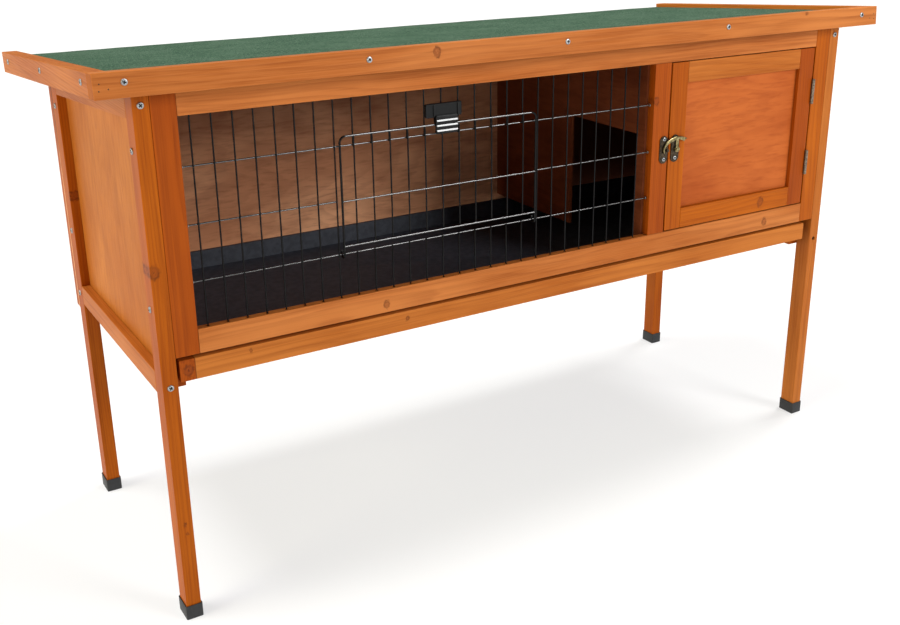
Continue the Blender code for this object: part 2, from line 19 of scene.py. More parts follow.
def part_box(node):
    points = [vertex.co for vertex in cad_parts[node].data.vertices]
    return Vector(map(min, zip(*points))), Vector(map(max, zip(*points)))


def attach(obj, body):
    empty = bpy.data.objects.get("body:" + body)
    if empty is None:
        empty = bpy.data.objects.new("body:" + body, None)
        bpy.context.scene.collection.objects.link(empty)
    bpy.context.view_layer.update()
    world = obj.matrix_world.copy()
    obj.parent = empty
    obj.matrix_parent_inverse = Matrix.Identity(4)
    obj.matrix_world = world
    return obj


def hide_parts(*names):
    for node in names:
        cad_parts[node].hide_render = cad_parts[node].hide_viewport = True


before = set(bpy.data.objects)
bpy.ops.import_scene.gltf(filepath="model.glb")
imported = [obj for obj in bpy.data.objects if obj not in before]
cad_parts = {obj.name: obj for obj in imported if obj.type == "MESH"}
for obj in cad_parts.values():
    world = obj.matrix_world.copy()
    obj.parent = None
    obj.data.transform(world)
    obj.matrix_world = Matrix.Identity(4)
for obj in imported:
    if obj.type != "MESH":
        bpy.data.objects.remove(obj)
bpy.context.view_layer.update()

log = logging.getLogger("hutch")

Colour = tuple[float, float, float]
Point = tuple[float, float, float]
Socket = bpy.types.NodeSocket

MM = 0.001
FELT_THICKNESS = 0.002
TINY = 1e-6


# ---- places read from the frame --------------------------------------------------------
@dataclass(frozen=True)
class Places:
    """Planes and rows of the hutch, read from the CAD nodes."""

    left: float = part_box("leg_front_left")[0].x
    right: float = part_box("leg_front_right")[1].x
    front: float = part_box("leg_front_left")[0].y
    back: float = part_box("leg_rear_left")[1].y
    rail_top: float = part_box("front_bottom_rail")[1].z
    head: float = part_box("front_top_rail")[0].z
    mullion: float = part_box("front_mullion")[0].x
    stile_edge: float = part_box("front_stile_left")[1].x
    roof_front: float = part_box("front_fascia")[0].y
    roof_top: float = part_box("front_fascia")[1].z

    def across(self, distance: float) -> float:
        """World X of a distance in millimetres from the left leg's outer face."""
        return self.left + distance * MM

    def deep(self, distance: float) -> float:
        """World Y of a distance in millimetres behind the front face."""
        return self.front + distance * MM


AT = Places()


def roof_slope() -> float:
    """Angle by which the roof falls towards the back, in radians."""
    low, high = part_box("roof_felt")
    return math.atan2(high.z - low.z - FELT_THICKNESS, high.y - low.y)


# ---- colours ---------------------------------------------------------------------------
def tint(red: float, green: float, blue: float) -> Colour:
    """Scene-linear colour of a display colour.

    Args:
        red: Red, 0 to 255.
        green: Green, 0 to 255.
        blue: Blue, 0 to 255.

    Returns:
        The linear colour, 0 to 1.
    """
    def linear(value: float) -> float:
        """One channel, made linear."""
        share = value / 255
        return share / 12.92 if share <= 0.04045 else ((share + 0.055) / 1.055) ** 2.4
    return linear(red), linear(green), linear(blue)


class Grain(Enum):
    """Which way a board's fibres run; the value turns that way to +Z."""

    ALONG_X = (0.0, -math.pi / 2, 0.0)
    ALONG_Y = (math.pi / 2, 0.0, 0.0)
    ALONG_Z = (0.0, 0.0, 0.0)


class Tone(Enum):
    """Stain on a board: pale early wood, body colour and dark late wood."""

    HONEY = (tint(190, 112, 46), tint(168, 90, 29), tint(130, 61, 16))
    WHEAT = (tint(195, 118, 59), tint(171, 94, 38), tint(130, 62, 20))
    AMBER = (tint(180, 92, 12), tint(157, 72, 6), tint(120, 48, 4))
    RUSSET = (tint(166, 77, 12), tint(145, 62, 7), tint(108, 39, 4))
    OCHRE = (tint(196, 107, 36), tint(173, 87, 22), tint(134, 58, 11))


KNOT_CORE, KNOT_RIM, GLUE_LINE = tint(118, 54, 24), tint(66, 28, 12), tint(80, 32, 14)
WOOD_SPECULAR = 0.08


class Sheet(Enum):
    """Stain on thin plywood: pale, body and dark."""

    SIDE = (tint(194, 119, 50), tint(176, 100, 34), tint(146, 75, 20))
    PANEL = (tint(189, 99, 43), tint(168, 80, 30), tint(137, 56, 18))
    INSIDE = (tint(228, 168, 126), tint(198, 136, 98), tint(122, 66, 42))
    # SHADED is painted shade, not a stain: a darker copy of INSIDE for faces that lie in the hutch's shade.
    SHADED = (tint(138, 74, 44), tint(116, 58, 32), tint(84, 38, 20))


# ---- node trees ------------------------------------------------------------------------
class Wiring:
    """Adds and joins nodes in one tree."""

    def __init__(self, tree: bpy.types.NodeTree) -> None:
        """Work on a tree.

        Args:
            tree: The material's or group's node tree.
        """
        self.tree = tree

    def node(self, kind: str, **settings: object) -> bpy.types.Node:
        """Add a node.

        Args:
            kind: The node's type.
            settings: Values of its options.

        Returns:
            The node.
        """
        made = self.tree.nodes.new(kind)
        for key, value in settings.items():
            setattr(made, key, value)
        return made

    def coordinates(self, kind: str = "Object") -> Socket:
        """An output of a Texture Coordinate node."""
        return self.node("ShaderNodeTexCoord").outputs[kind]

    def apart(self, vector: Socket) -> bpy.types.NodeOutputs:
        """A vector's three parts.

        Args:
            vector: The vector.

        Returns:
            The outputs X, Y and Z.
        """
        made = self.node("ShaderNodeSeparateXYZ")
        self.feed(made.inputs[0], vector)
        return made.outputs

    def feed(self, socket: Socket, value: object) -> None:
        """Join a socket to another, or give it a constant.

        Args:
            socket: The input.
            value: An output socket, a number, a vector or a colour.
        """
        if isinstance(value, bpy.types.NodeSocket):
            self.tree.links.new(value, socket)
        elif socket.type == "RGBA" and len(value) == 3:
            socket.default_value = (*value, 1.0)
        else:
            socket.default_value = value

    def maths(self, operation: str, *values: object) -> Socket:
        """Add a Math node.

        Args:
            operation: What it works out.
            values: Its inputs.

        Returns:
            Its result.
        """
        made = self.node("ShaderNodeMath", operation=operation)
        for socket, value in zip(made.inputs, values):
            self.feed(socket, value)
        return made.outputs[0]

    def vectors(self, operation: str, first: object, second: object = None) -> Socket:
        """Add a Vector Math node.

        Args:
            operation: What it works out.
            first: Its first input.
            second: Its second input, or the factor of a SCALE.

        Returns:
            Its result, a number for lengths and dot products.
        """
        made = self.node("ShaderNodeVectorMath", operation=operation)
        self.feed(made.inputs[0], first)
        if second is not None:
            self.feed(made.inputs["Scale" if operation == "SCALE" else 1], second)
        single = operation in ("LENGTH", "DOT_PRODUCT")
        return made.outputs["Value" if single else "Vector"]

    def noise(self, vector: Socket, stretch: Point, detail: float = 2.0,
              colour: bool = False) -> Socket:
        """Add a Noise texture.

        Args:
            vector: The place that it is read at.
            stretch: Density of its cells per metre along each axis.
            detail: Octaves of finer noise.
            colour: Whether to give three independent values and not one.

        Returns:
            The noise.
        """
        made = self.node("ShaderNodeTexNoise")
        self.feed(made.inputs["Vector"], self.vectors("MULTIPLY", vector, stretch))
        made.inputs["Scale"].default_value = 1.0
        made.inputs["Detail"].default_value = detail
        return made.outputs["Color" if colour else "Fac"]

    def mix(self, share: object, first: object, second: object) -> Socket:
        """Blend two colours.

        Args:
            share: How much of the second there is, 0 to 1.
            first: The colour at 0.
            second: The colour at 1.

        Returns:
            The blend.
        """
        made = self.node("ShaderNodeMix", data_type="RGBA")
        self.feed(made.inputs[0], share)
        self.feed(made.inputs[6], first)
        self.feed(made.inputs[7], second)
        return made.outputs[2]

    def ease(self, value: Socket, low: float, high: float,
             first: float = 0.0, last: float = 1.0) -> Socket:
        """Step smoothly from one number to another as a value grows or falls.

        Args:
            value: The value.
            low: Where the step starts.
            high: Where it ends; it may be the smaller one.
            first: Result at its start.
            last: Result at its end.

        Returns:
            The stepped value.
        """
        made = self.node("ShaderNodeMapRange", interpolation_type="SMOOTHSTEP")
        for socket, number in zip(made.inputs, (value, low, high, first, last)):
            self.feed(socket, number)
        return made.outputs[0]

    def group(self, tree: bpy.types.NodeTree, **values: object) -> bpy.types.Node:
        """Place a node group.

        Args:
            tree: The group's tree.
            values: Its inputs by name, with underscores for spaces.

        Returns:
            The group's node.
        """
        made = self.node("ShaderNodeGroup", node_tree=tree)
        for key, value in values.items():
            self.feed(made.inputs[key.replace("_", " ")], value)
        return made


SOCKETS = {"vector": "NodeSocketVector", "value": "NodeSocketFloat", "colour": "NodeSocketColor"}


def group_tree(name: str, inputs: dict[str, str], outputs: dict[str, str]
               ) -> tuple[Wiring, bpy.types.Node, bpy.types.Node]:
    """Start a node group.

    Args:
        name: The group's name.
        inputs: Kind of each named input.
        outputs: Kind of each named output.

    Returns:
        The wiring, the group's input node and its output node.
    """
    tree = bpy.data.node_groups.new(name, "ShaderNodeTree")
    for side, sockets in (("INPUT", inputs), ("OUTPUT", outputs)):
        for label, kind in sockets.items():
            tree.interface.new_socket(label, in_out=side, socket_type=SOCKETS[kind])
    wiring = Wiring(tree)
    return wiring, wiring.node("NodeGroupInput"), wiring.node("NodeGroupOutput")


STAIN_INPUTS = {"Place": "vector", "Facing": "vector", "Seed": "value", "Pale": "colour",
                "Body": "colour", "Dark": "colour"}
SURFACE_OUTPUTS = {"Colour": "colour", "Roughness": "value", "Height": "value"}


def seeded(wiring: Wiring, inputs: bpy.types.Node) -> Socket:
    """The place moved by the seed, so that no two boards show the same figure."""
    offset = wiring.vectors("SCALE", (1.71, 3.13, 5.37), inputs.outputs["Seed"])
    return wiring.vectors("ADD", inputs.outputs["Place"], offset)


def eased_edge(wiring: Wiring, facing: Socket) -> Socket:
    """Mask of the rounded edges of a squared board, where the stain has rubbed thin and a painted highlight
    stands in for light caught on the bevel.

    Args:
        wiring: The tree's wiring.
        facing: The surface's normal along the board's axes.

    Returns:
        The mask.
    """
    x, y, z = wiring.apart(wiring.vectors("ABSOLUTE", facing))
    largest = wiring.maths("MAXIMUM", wiring.maths("MAXIMUM", x, y), z)
    return wiring.ease(largest, 0.99, 0.90)


def fir_group() -> bpy.types.NodeTree:
    """Solid softwood grain round a heart line: rings, fibres, streaks and stain blotches.

    Returns:
        The group's tree.
    """
    inputs = {**STAIN_INPUTS, "Ring Width": "value", "Heart": "vector"}
    wiring, entry, leave = group_tree("stained_softwood", inputs, SURFACE_OUTPUTS)
    place = seeded(wiring, entry)
    wander = wiring.vectors("SUBTRACT", wiring.noise(place, (11, 11, 1.7), 2, colour=True),
                            (0.5, 0.5, 0.5))
    wander = wiring.vectors("MULTIPLY", wander, (0.020, 0.020, 0.0))
    across = wiring.vectors("SUBTRACT", wiring.vectors("ADD", entry.outputs["Place"], wander),
                            entry.outputs["Heart"])
    radius = wiring.vectors("LENGTH", wiring.vectors("MULTIPLY", across, (1.0, 1.0, 0.0)))
    jitter = wiring.maths("MULTIPLY", wiring.noise(place, (90, 90, 2.2), 2), 0.0016)
    turns = wiring.maths("DIVIDE", wiring.maths("ADD", radius, jitter), entry.outputs["Ring Width"])
    phase = wiring.maths("FRACT", turns)
    late = wiring.maths("MULTIPLY", wiring.ease(phase, 0.30, 0.90), wiring.ease(phase, 1.0, 0.91))
    fibre = wiring.noise(place, (800, 800, 14), 3)
    streak = wiring.ease(wiring.noise(place, (150, 150, 2.6), 3), 0.42, 0.72)
    blotch = wiring.ease(wiring.noise(place, (17, 17, 4.5), 3), 0.30, 0.70)
    along = wiring.apart(entry.outputs["Facing"])[2]
    end = wiring.ease(wiring.maths("ABSOLUTE", along), 0.80, 0.95)
    colour = wiring.mix(blotch, entry.outputs["Body"], entry.outputs["Pale"])
    colour = wiring.mix(wiring.maths("MULTIPLY", late, 0.30), colour, entry.outputs["Dark"])
    colour = wiring.mix(wiring.maths("MULTIPLY", streak, 0.38), colour, entry.outputs["Dark"])
    colour = wiring.mix(wiring.ease(fibre, 0.60, 0.40, 0.0, 0.34), colour, entry.outputs["Pale"])
    colour = wiring.mix(wiring.maths("MULTIPLY", end, 0.45), colour, entry.outputs["Dark"])
    # rounded edges go pale: partly wear, partly a painted highlight on the bevels
    edge = wiring.maths("MULTIPLY", eased_edge(wiring, entry.outputs["Facing"]), 0.40)
    wiring.feed(leave.inputs["Colour"], wiring.mix(edge, colour, entry.outputs["Pale"]))
    rough = wiring.maths("ADD", wiring.maths("MULTIPLY", fibre, 0.20), 0.36)
    wiring.feed(leave.inputs["Roughness"],
                wiring.maths("ADD", rough, wiring.maths("MULTIPLY", end, 0.2)))
    wiring.feed(leave.inputs["Height"],
                wiring.maths("ADD", wiring.maths("MULTIPLY", fibre, 0.6),
                             wiring.maths("MULTIPLY", late, 0.4)))
    return wiring.tree


def knot_group() -> bpy.types.NodeTree:
    """A knot on a face: it bends the grain round itself and gives its core and rim masks.

    Returns:
        The group's tree.
    """
    inputs = {"Place": "vector", "Bent": "vector", "Centre": "vector", "Size": "value",
              "Face": "vector"}
    outputs = {"Bent": "vector", "Core": "value", "Rim": "value"}
    wiring, entry, leave = group_tree("knot", inputs, outputs)
    offset = wiring.vectors("SUBTRACT", entry.outputs["Place"], entry.outputs["Centre"])
    offset = wiring.vectors("MULTIPLY", offset, entry.outputs["Face"])
    ragged = wiring.noise(entry.outputs["Place"], (260, 260, 260), 2, colour=True)
    ragged = wiring.vectors("SUBTRACT", ragged, (0.5, 0.5, 0.5))
    ragged = wiring.vectors("SCALE", ragged, 0.0058)
    distance = wiring.maths("DIVIDE", wiring.vectors("LENGTH", wiring.vectors("ADD", offset, ragged)),
                            entry.outputs["Size"])
    squared = wiring.maths("MULTIPLY", distance, distance)
    pull = wiring.maths("EXPONENT", wiring.maths("MULTIPLY", squared, -0.45))
    push = wiring.vectors("SCALE", wiring.vectors("NORMALIZE", offset),
                          wiring.maths("MULTIPLY", pull, wiring.maths("MULTIPLY",
                                       entry.outputs["Size"], -0.85)))
    wiring.feed(leave.inputs["Bent"], wiring.vectors("ADD", entry.outputs["Bent"], push))
    rings = wiring.maths("SINE", wiring.maths("MULTIPLY", distance, 17.0))
    core = wiring.maths("ADD", wiring.maths("MULTIPLY", rings, 0.18), 0.82)
    wiring.feed(leave.inputs["Core"], wiring.maths("MULTIPLY", core, wiring.ease(distance, 1.15, 0.75)))
    rim = wiring.maths("MULTIPLY", wiring.ease(distance, 0.45, 0.95), wiring.ease(distance, 1.40, 0.95))
    heart = wiring.ease(distance, 0.24, 0.08)
    side = wiring.ease(wiring.noise(entry.outputs["Place"], (140, 140, 140), 1), 0.35, 0.60, 0.35, 1.0)
    wiring.feed(leave.inputs["Rim"], wiring.maths("MAXIMUM", wiring.maths("MULTIPLY", rim, side), heart))
    return wiring.tree


def veneer_group() -> bpy.types.NodeTree:
    """Rotary-cut plywood face: wide wandering figure, clouds, short flecks and soft blotches.

    Returns:
        The group's tree.
    """
    wiring, entry, leave = group_tree("rotary_veneer", STAIN_INPUTS, SURFACE_OUTPUTS)
    place = seeded(wiring, entry)
    drift = wiring.noise(place, (8, 8, 1.4), 2)
    ripple = wiring.maths("MULTIPLY", wiring.noise(place, (60, 60, 9), 2), 0.05)
    contour = wiring.maths("FRACT", wiring.maths("MULTIPLY", wiring.maths("ADD", drift, ripple), 22.0))
    late = wiring.maths("MULTIPLY", wiring.ease(contour, 0.25, 0.9), wiring.ease(contour, 1.0, 0.9))
    fleck = wiring.ease(wiring.noise(place, (260, 260, 38), 3), 0.46, 0.74)
    cloud = wiring.ease(wiring.noise(place, (36, 36, 12), 4), 0.44, 0.72)
    fibre = wiring.noise(place, (1300, 1300, 40), 2)
    blotch = wiring.ease(wiring.noise(place, (9, 9, 4.5), 4), 0.32, 0.68)
    colour = wiring.mix(blotch, entry.outputs["Body"], entry.outputs["Pale"])
    colour = wiring.mix(wiring.maths("MULTIPLY", late, 0.15), colour, entry.outputs["Dark"])
    colour = wiring.mix(wiring.maths("MULTIPLY", cloud, 0.34), colour, entry.outputs["Dark"])
    colour = wiring.mix(wiring.maths("MULTIPLY", fleck, 0.30), colour, entry.outputs["Dark"])
    wiring.feed(leave.inputs["Colour"], colour)
    wiring.feed(leave.inputs["Roughness"],
                wiring.maths("ADD", wiring.maths("MULTIPLY", fibre, 0.2), 0.42))
    wiring.feed(leave.inputs["Height"], wiring.maths("ADD", fibre, fleck))
    return wiring.tree


def patina_group() -> bpy.types.NodeTree:
    """Broad and fine mottling for metal and plastic: a mask, a roughness shift and a height.

    Returns:
        The group's tree.
    """
    outputs = {"Mottle": "value", "Fine": "value", "Height": "value"}
    wiring, entry, leave = group_tree("patina", {"Place": "vector", "Density": "value"}, outputs)
    place = wiring.vectors("SCALE", entry.outputs["Place"], entry.outputs["Density"])
    broad = wiring.noise(place, (1, 1, 1), 4)
    fine = wiring.noise(place, (9, 9, 9), 2)
    wiring.feed(leave.inputs["Mottle"], wiring.ease(broad, 0.35, 0.65))
    wiring.feed(leave.inputs["Fine"], fine)
    wiring.feed(leave.inputs["Height"], wiring.maths("ADD", wiring.maths("MULTIPLY", broad, 0.5),
                                                     wiring.maths("MULTIPLY", fine, 0.5)))
    return wiring.tree


class Groups:
    """The shared node groups, each built when it is first asked for."""

    makers: dict[str, Callable[[], bpy.types.NodeTree]] = {
        "fir": fir_group, "knot": knot_group, "veneer": veneer_group, "patina": patina_group}
    made: dict[str, bpy.types.NodeTree] = {}

    @classmethod
    def get(cls, name: str) -> bpy.types.NodeTree:
        """The named group.

        Args:
            name: Its name in makers.

        Returns:
            Its tree.
        """
        if name not in cls.made:
            cls.made[name] = cls.makers[name]()
        return cls.made[name]


def fresh_material(name: str) -> tuple[bpy.types.Material, Wiring, bpy.types.Node]:
    """Start a node material.

    Args:
        name: Its name.

    Returns:
        The material, its wiring and its Principled shader.
    """
    material = bpy.data.materials.new(name)
    material.use_nodes = True
    return material, Wiring(material.node_tree), material.node_tree.nodes["Principled BSDF"]


def add_bump(wiring: Wiring, shader: bpy.types.Node, height: Socket, distance: float,
             strength: float = 0.5) -> None:
    """Feed a height through a Bump node into the shader's normal.

    Args:
        wiring: The material's wiring.
        shader: Its Principled shader.
        height: The height, 0 to 1.
        distance: Real height of 1, in metres.
        strength: How far the normal follows it.
    """
    bump = wiring.node("ShaderNodeBump")
    bump.inputs["Strength"].default_value = strength
    bump.inputs["Distance"].default_value = distance
    wiring.feed(bump.inputs["Height"], height)
    wiring.feed(shader.inputs["Normal"], bump.outputs[0])


def mapped(wiring: Wiring, source: Socket, turn: Point, kind: str = "POINT",
           shift: Point = (0.0, 0.0, 0.0)) -> Socket:
    """Turn a place or a normal so that the grain runs along Z.

    Args:
        wiring: The material's wiring.
        source: The place or the normal.
        turn: Angles of the turn.
        kind: POINT for a place, VECTOR for a normal.
        shift: What is then added to a place.

    Returns:
        The turned place or normal.
    """
    mapping = wiring.node("ShaderNodeMapping", vector_type=kind)
    wiring.feed(mapping.inputs["Vector"], source)
    mapping.inputs["Rotation"].default_value = turn
    if kind == "POINT":
        mapping.inputs["Location"].default_value = shift
    return mapping.outputs[0]


# ---- finishes --------------------------------------------------------------------------
@dataclass(frozen=True)
class Knot:
    """A knot in a board: its place in the hutch, its radius, and how much each axis counts."""

    place: Point
    size: float
    face: Point = (1.0, 0.0, 0.8)


@dataclass(frozen=True)
class StainedFir:
    """Stained fir batten with its own growth rings.

    The heart line runs along the grain at heart, beside the batten's middle. With end_block,
    another board's block is glued on up to that world X.
    """

    grain: Grain
    tone: Tone
    seed: float
    heart: tuple[float, float] = (0.06, 0.09)
    ring_width: float = 0.0022
    knots: tuple[Knot, ...] = ()
    end_block: Optional[float] = None

    def figure(self, wiring: Wiring, place: Socket, facing: Socket, tone: Tone, seed: float
               ) -> bpy.types.Node:
        """Place one board's grain.

        Args:
            wiring: The material's wiring.
            place: Place along the board's axes.
            facing: Normal along the board's axes.
            tone: The stain.
            seed: What sets this board's figure apart.

        Returns:
            The placed group.
        """
        pale, body, dark = tone.value
        return wiring.group(Groups.get("fir"), Place=place, Facing=facing, Seed=seed, Pale=pale,
                            Body=body, Dark=dark, Ring_Width=self.ring_width,
                            Heart=(*self.heart, 0.0))

    def material(self, name: str, centre: Vector) -> bpy.types.Material:
        """Build the board's material.

        Args:
            name: The material's name.
            centre: The board's middle, which the heart line is measured from.

        Returns:
            The material.
        """
        material, wiring, shader = fresh_material(name)
        shift = -(rotation_of(self.grain.value) @ centre)
        plain = wiring.coordinates()
        bent, rims, cores = plain, [], []
        for knot in self.knots:
            placed = wiring.group(Groups.get("knot"), Place=plain, Bent=bent, Centre=knot.place,
                                  Size=knot.size, Face=knot.face)
            bent = placed.outputs["Bent"]
            rims.append(placed.outputs["Rim"])
            cores.append(placed.outputs["Core"])
        place = mapped(wiring, bent, self.grain.value, "POINT", shift)
        facing = mapped(wiring, wiring.coordinates("Normal"), self.grain.value, "VECTOR")
        board = self.figure(wiring, place, facing, self.tone, self.seed)
        colour = board.outputs["Colour"]
        if self.end_block is not None:
            colour = self.blocked(wiring, colour, plain, facing)
        for rim, core in zip(rims, cores):
            colour = wiring.mix(wiring.maths("MULTIPLY", core, 0.55), colour, KNOT_CORE)
            colour = wiring.mix(wiring.maths("MULTIPLY", rim, 0.52), colour, KNOT_RIM)
        wiring.feed(shader.inputs["Base Color"], colour)
        wiring.feed(shader.inputs["Roughness"], board.outputs["Roughness"])
        shader.inputs["Specular IOR Level"].default_value = WOOD_SPECULAR
        add_bump(wiring, shader, board.outputs["Height"], 0.00025, 0.35)
        return material

    def blocked(self, wiring: Wiring, colour: Socket, plain: Socket, facing: Socket) -> Socket:
        """Glue a block of another board to the batten's left end, with a dark joint.

        Args:
            wiring: The material's wiring.
            colour: Colour of the batten.
            plain: Place in the hutch.
            facing: Normal along the board's axes.

        Returns:
            The batten's colour with its block.
        """
        crossed = mapped(wiring, wiring.coordinates(), (0.5, 0.35, 0.2))
        block = self.figure(wiring, crossed, facing, Tone.RUSSET, self.seed + 3.7)
        x = wiring.apart(plain)[0]
        inside = wiring.ease(x, self.end_block + 0.0004, self.end_block - 0.0004)
        away = wiring.maths("ABSOLUTE", wiring.maths("SUBTRACT", x, self.end_block))
        colour = wiring.mix(inside, colour, block.outputs["Colour"])
        return wiring.mix(wiring.maths("MULTIPLY", wiring.ease(away, 0.0009, 0.0002), 0.7), colour,
                          GLUE_LINE)


@dataclass(frozen=True)
class StainedPly:
    """Thin plywood sheet, stained; its outer face may have a stain of its own.

    Each shade band is an axis and the two places along it between which painted shade
    darkens the inner face, standing in for the shade that falls inside the hutch.
    """

    grain: Grain
    tone: Sheet
    seed: float
    outer: Optional[Sheet] = None
    outward: Point = (0.0, 1.0, 0.0)
    # painted shade: axes and places where the inner face is darkened for the shade inside the hutch
    deepens: tuple[tuple[int, float, float], ...] = ()

    def material(self, name: str, centre: Vector) -> bpy.types.Material:
        """Build the sheet's material; its figure is seeded and not tied to the centre.

        Args:
            name: The material's name.
            centre: The sheet's middle, unused.

        Returns:
            The material.
        """
        del centre
        material, wiring, shader = fresh_material(name)
        place = mapped(wiring, wiring.coordinates(), self.grain.value)
        facing = mapped(wiring, wiring.coordinates("Normal"), self.grain.value, "VECTOR")
        pale, body, dark = self.tone.value
        outside = 0.0
        if self.outer is not None:
            along = wiring.vectors("DOT_PRODUCT", wiring.coordinates("Normal"), self.outward)
            outside = wiring.ease(along, 0.2, 0.5)
            pale, body, dark = (wiring.mix(outside, inner, outer)
                                for inner, outer in zip(self.tone.value, self.outer.value))
        sheet = wiring.group(Groups.get("veneer"), Place=place, Facing=facing, Seed=self.seed,
                             Pale=pale, Body=body, Dark=dark)
        colour = self.deepened(wiring, sheet.outputs["Colour"], outside)
        wiring.feed(shader.inputs["Base Color"], colour)
        wiring.feed(shader.inputs["Roughness"], sheet.outputs["Roughness"])
        shader.inputs["Specular IOR Level"].default_value = WOOD_SPECULAR
        add_bump(wiring, shader, sheet.outputs["Height"], 0.0002, 0.3)
        return material

    def deepened(self, wiring: Wiring, colour: Socket, outside: object) -> Socket:
        """Paint shade on the inner face along the axes of the shade bands.

        Args:
            wiring: The material's wiring.
            colour: Colour of the sheet.
            outside: Mask of the outer face, or 0.

        Returns:
            The sheet's colour, with painted shade inside.
        """
        for axis, low, high in self.deepens:
            part = wiring.apart(wiring.coordinates())[axis]
            # painted shade: mix towards the shaded sheet's dark colour inside each band
            deep = wiring.ease(part, low, high, 0.0, 0.95)
            deep = wiring.maths("MULTIPLY", deep, wiring.maths("SUBTRACT", 1.0, outside))
            colour = wiring.mix(deep, colour, Sheet.SHADED.value[2])
        return colour


@dataclass(frozen=True)
class MineralFelt:
    """Green roofing felt faced with crushed-stone granules."""

    pale: Colour = tint(104, 128, 108)
    body: Colour = tint(52, 84, 62)
    dark: Colour = tint(30, 56, 42)
    granules_per_metre: float = 760.0

    def material(self, name: str) -> bpy.types.Material:
        """Build the felt's material.

        Args:
            name: The material's name.

        Returns:
            The material.
        """
        material, wiring, shader = fresh_material(name)
        place = wiring.coordinates()
        grit = wiring.node("ShaderNodeTexVoronoi", feature="F1")
        wiring.feed(grit.inputs["Vector"], place)
        grit.inputs["Scale"].default_value = self.granules_per_metre
        shade = wiring.node("ShaderNodeSeparateColor")
        wiring.feed(shade.inputs[0], grit.outputs["Color"])
        clump = wiring.noise(place, (240, 240, 240), 3)
        worn = wiring.ease(wiring.noise(place, (16, 16, 16), 3), 0.35, 0.7)
        colour = wiring.mix(wiring.ease(shade.outputs[0], 0.15, 0.85), self.dark, self.body)
        colour = wiring.mix(wiring.ease(clump, 0.40, 0.62, 0.0, 0.6), colour, self.body)
        bright = wiring.ease(shade.outputs[1], 0.74, 0.94, 0.0, 0.85)
        colour = wiring.mix(bright, colour, self.pale)
        colour = wiring.mix(wiring.maths("MULTIPLY", worn, 0.18), colour, self.pale)
        wiring.feed(shader.inputs["Base Color"], colour)
        shader.inputs["Roughness"].default_value = 0.92
        shader.inputs["Specular IOR Level"].default_value = 0.2
        lumps = wiring.maths("SUBTRACT", clump, wiring.maths("MULTIPLY", grit.outputs["Distance"], 0.8))
        add_bump(wiring, shader, lumps, 0.0006, 0.8)
        return material


@dataclass(frozen=True)
class Coated:
    """Metal or plastic whose surface varies by a patina: two colours and two roughnesses."""

    first: Colour
    second: Colour
    smooth: float
    rough: float
    metallic: float = 0.0
    density: float = 160.0
    bump: float = 0.00008
    specular: float = 0.5
    coat: float = 0.0
    ior: float = 1.5

    def material(self, name: str) -> bpy.types.Material:
        """Build the coated material.

        Args:
            name: The material's name.

        Returns:
            The material.
        """
        material, wiring, shader = fresh_material(name)
        place = wiring.coordinates()
        patina = wiring.group(Groups.get("patina"), Place=place, Density=self.density)
        colour = wiring.mix(patina.outputs["Mottle"], self.first, self.second)
        wiring.feed(shader.inputs["Base Color"], colour)
        spread = self.rough - self.smooth
        rough = wiring.maths("MULTIPLY", patina.outputs["Fine"], spread)
        wiring.feed(shader.inputs["Roughness"], wiring.maths("ADD", rough, self.smooth))
        shader.inputs["Metallic"].default_value = self.metallic
        shader.inputs["Specular IOR Level"].default_value = self.specular
        shader.inputs["Coat Weight"].default_value = self.coat
        shader.inputs["IOR"].default_value = self.ior
        add_bump(wiring, shader, patina.outputs["Height"], self.bump)
        return material


class Finish(Enum):
    """Finishes of the fittings, with the record's slot that each belongs to."""

    WIRE = ("black_wire", Coated(tint(6, 6, 7), tint(11, 11, 12), 0.18, 0.30, 0.0, 400.0, 0.00003,
                                 0.15))
    # A lighter, glossier copy of WIRE's coating for wires that run along X: the lighter colour is painted
    # sheen, and the extra gloss lets the lamps glint on these wires only.
    LEVEL_WIRE = ("black_wire", Coated(tint(12, 12, 13), tint(18, 18, 19), 0.16, 0.26, 0.0, 400.0,
                                       0.00002, 1.0, ior=1.66))
    CAP = ("black_plastic", Coated(tint(26, 27, 29), tint(34, 35, 38), 0.42, 0.62, 0.0, 300.0, 0.0001))
    CATCH = ("black_plastic", Coated(tint(6, 7, 8), tint(11, 12, 13), 0.30, 0.42, 0.0, 300.0,
                                     0.00004, 0.2))
    # A lighter, glossier copy of CATCH for the tongue's rib faces: the lighter colour is painted highlight,
    # and the extra gloss lets the lamps glint on the ribs.
    RIB = ("black_plastic", Coated(tint(14, 15, 16), tint(22, 23, 24), 0.20, 0.30, 0.0, 300.0,
                                   0.00002, 0.9))
    TRAY = ("tray_plastic", Coated(tint(52, 55, 62), tint(62, 65, 73), 0.40, 0.56, 0.0, 120.0, 0.00012,
                                   0.12))
    PLATE = ("antique_bronze", Coated(tint(46, 42, 38), tint(84, 72, 56), 0.36, 0.55, 1.0, 420.0,
                                      0.00012))
    HORN = ("antique_bronze", Coated(tint(104, 94, 62), tint(164, 150, 108), 0.24, 0.40, 1.0, 300.0,
                                     0.00006))
    ZINC = ("zinc_plate", Coated(tint(150, 152, 156), tint(178, 180, 182), 0.28, 0.42, 1.0, 500.0,
                                 0.00004))
    # Painted shade: dark zinc for the screws' cross recesses and for the counterbored screw's head, standing
    # in for the shade inside them.
    RECESS = ("zinc_plate", Coated(tint(26, 25, 25), tint(40, 38, 36), 0.5, 0.7, 0.6, 500.0, 0.00004))
    HINGE = ("zinc_plate", Coated(tint(104, 92, 80), tint(146, 134, 120), 0.38, 0.56, 1.0, 500.0,
                                  0.00006))

    @property
    def slot(self) -> str:
        """The record's material slot."""
        return self.value[0]

    def material(self) -> bpy.types.Material:
        """The shared material of this finish, built once."""
        name = f"{self.name.lower()}_finish"
        return bpy.data.materials.get(name) or self.value[1].material(name)


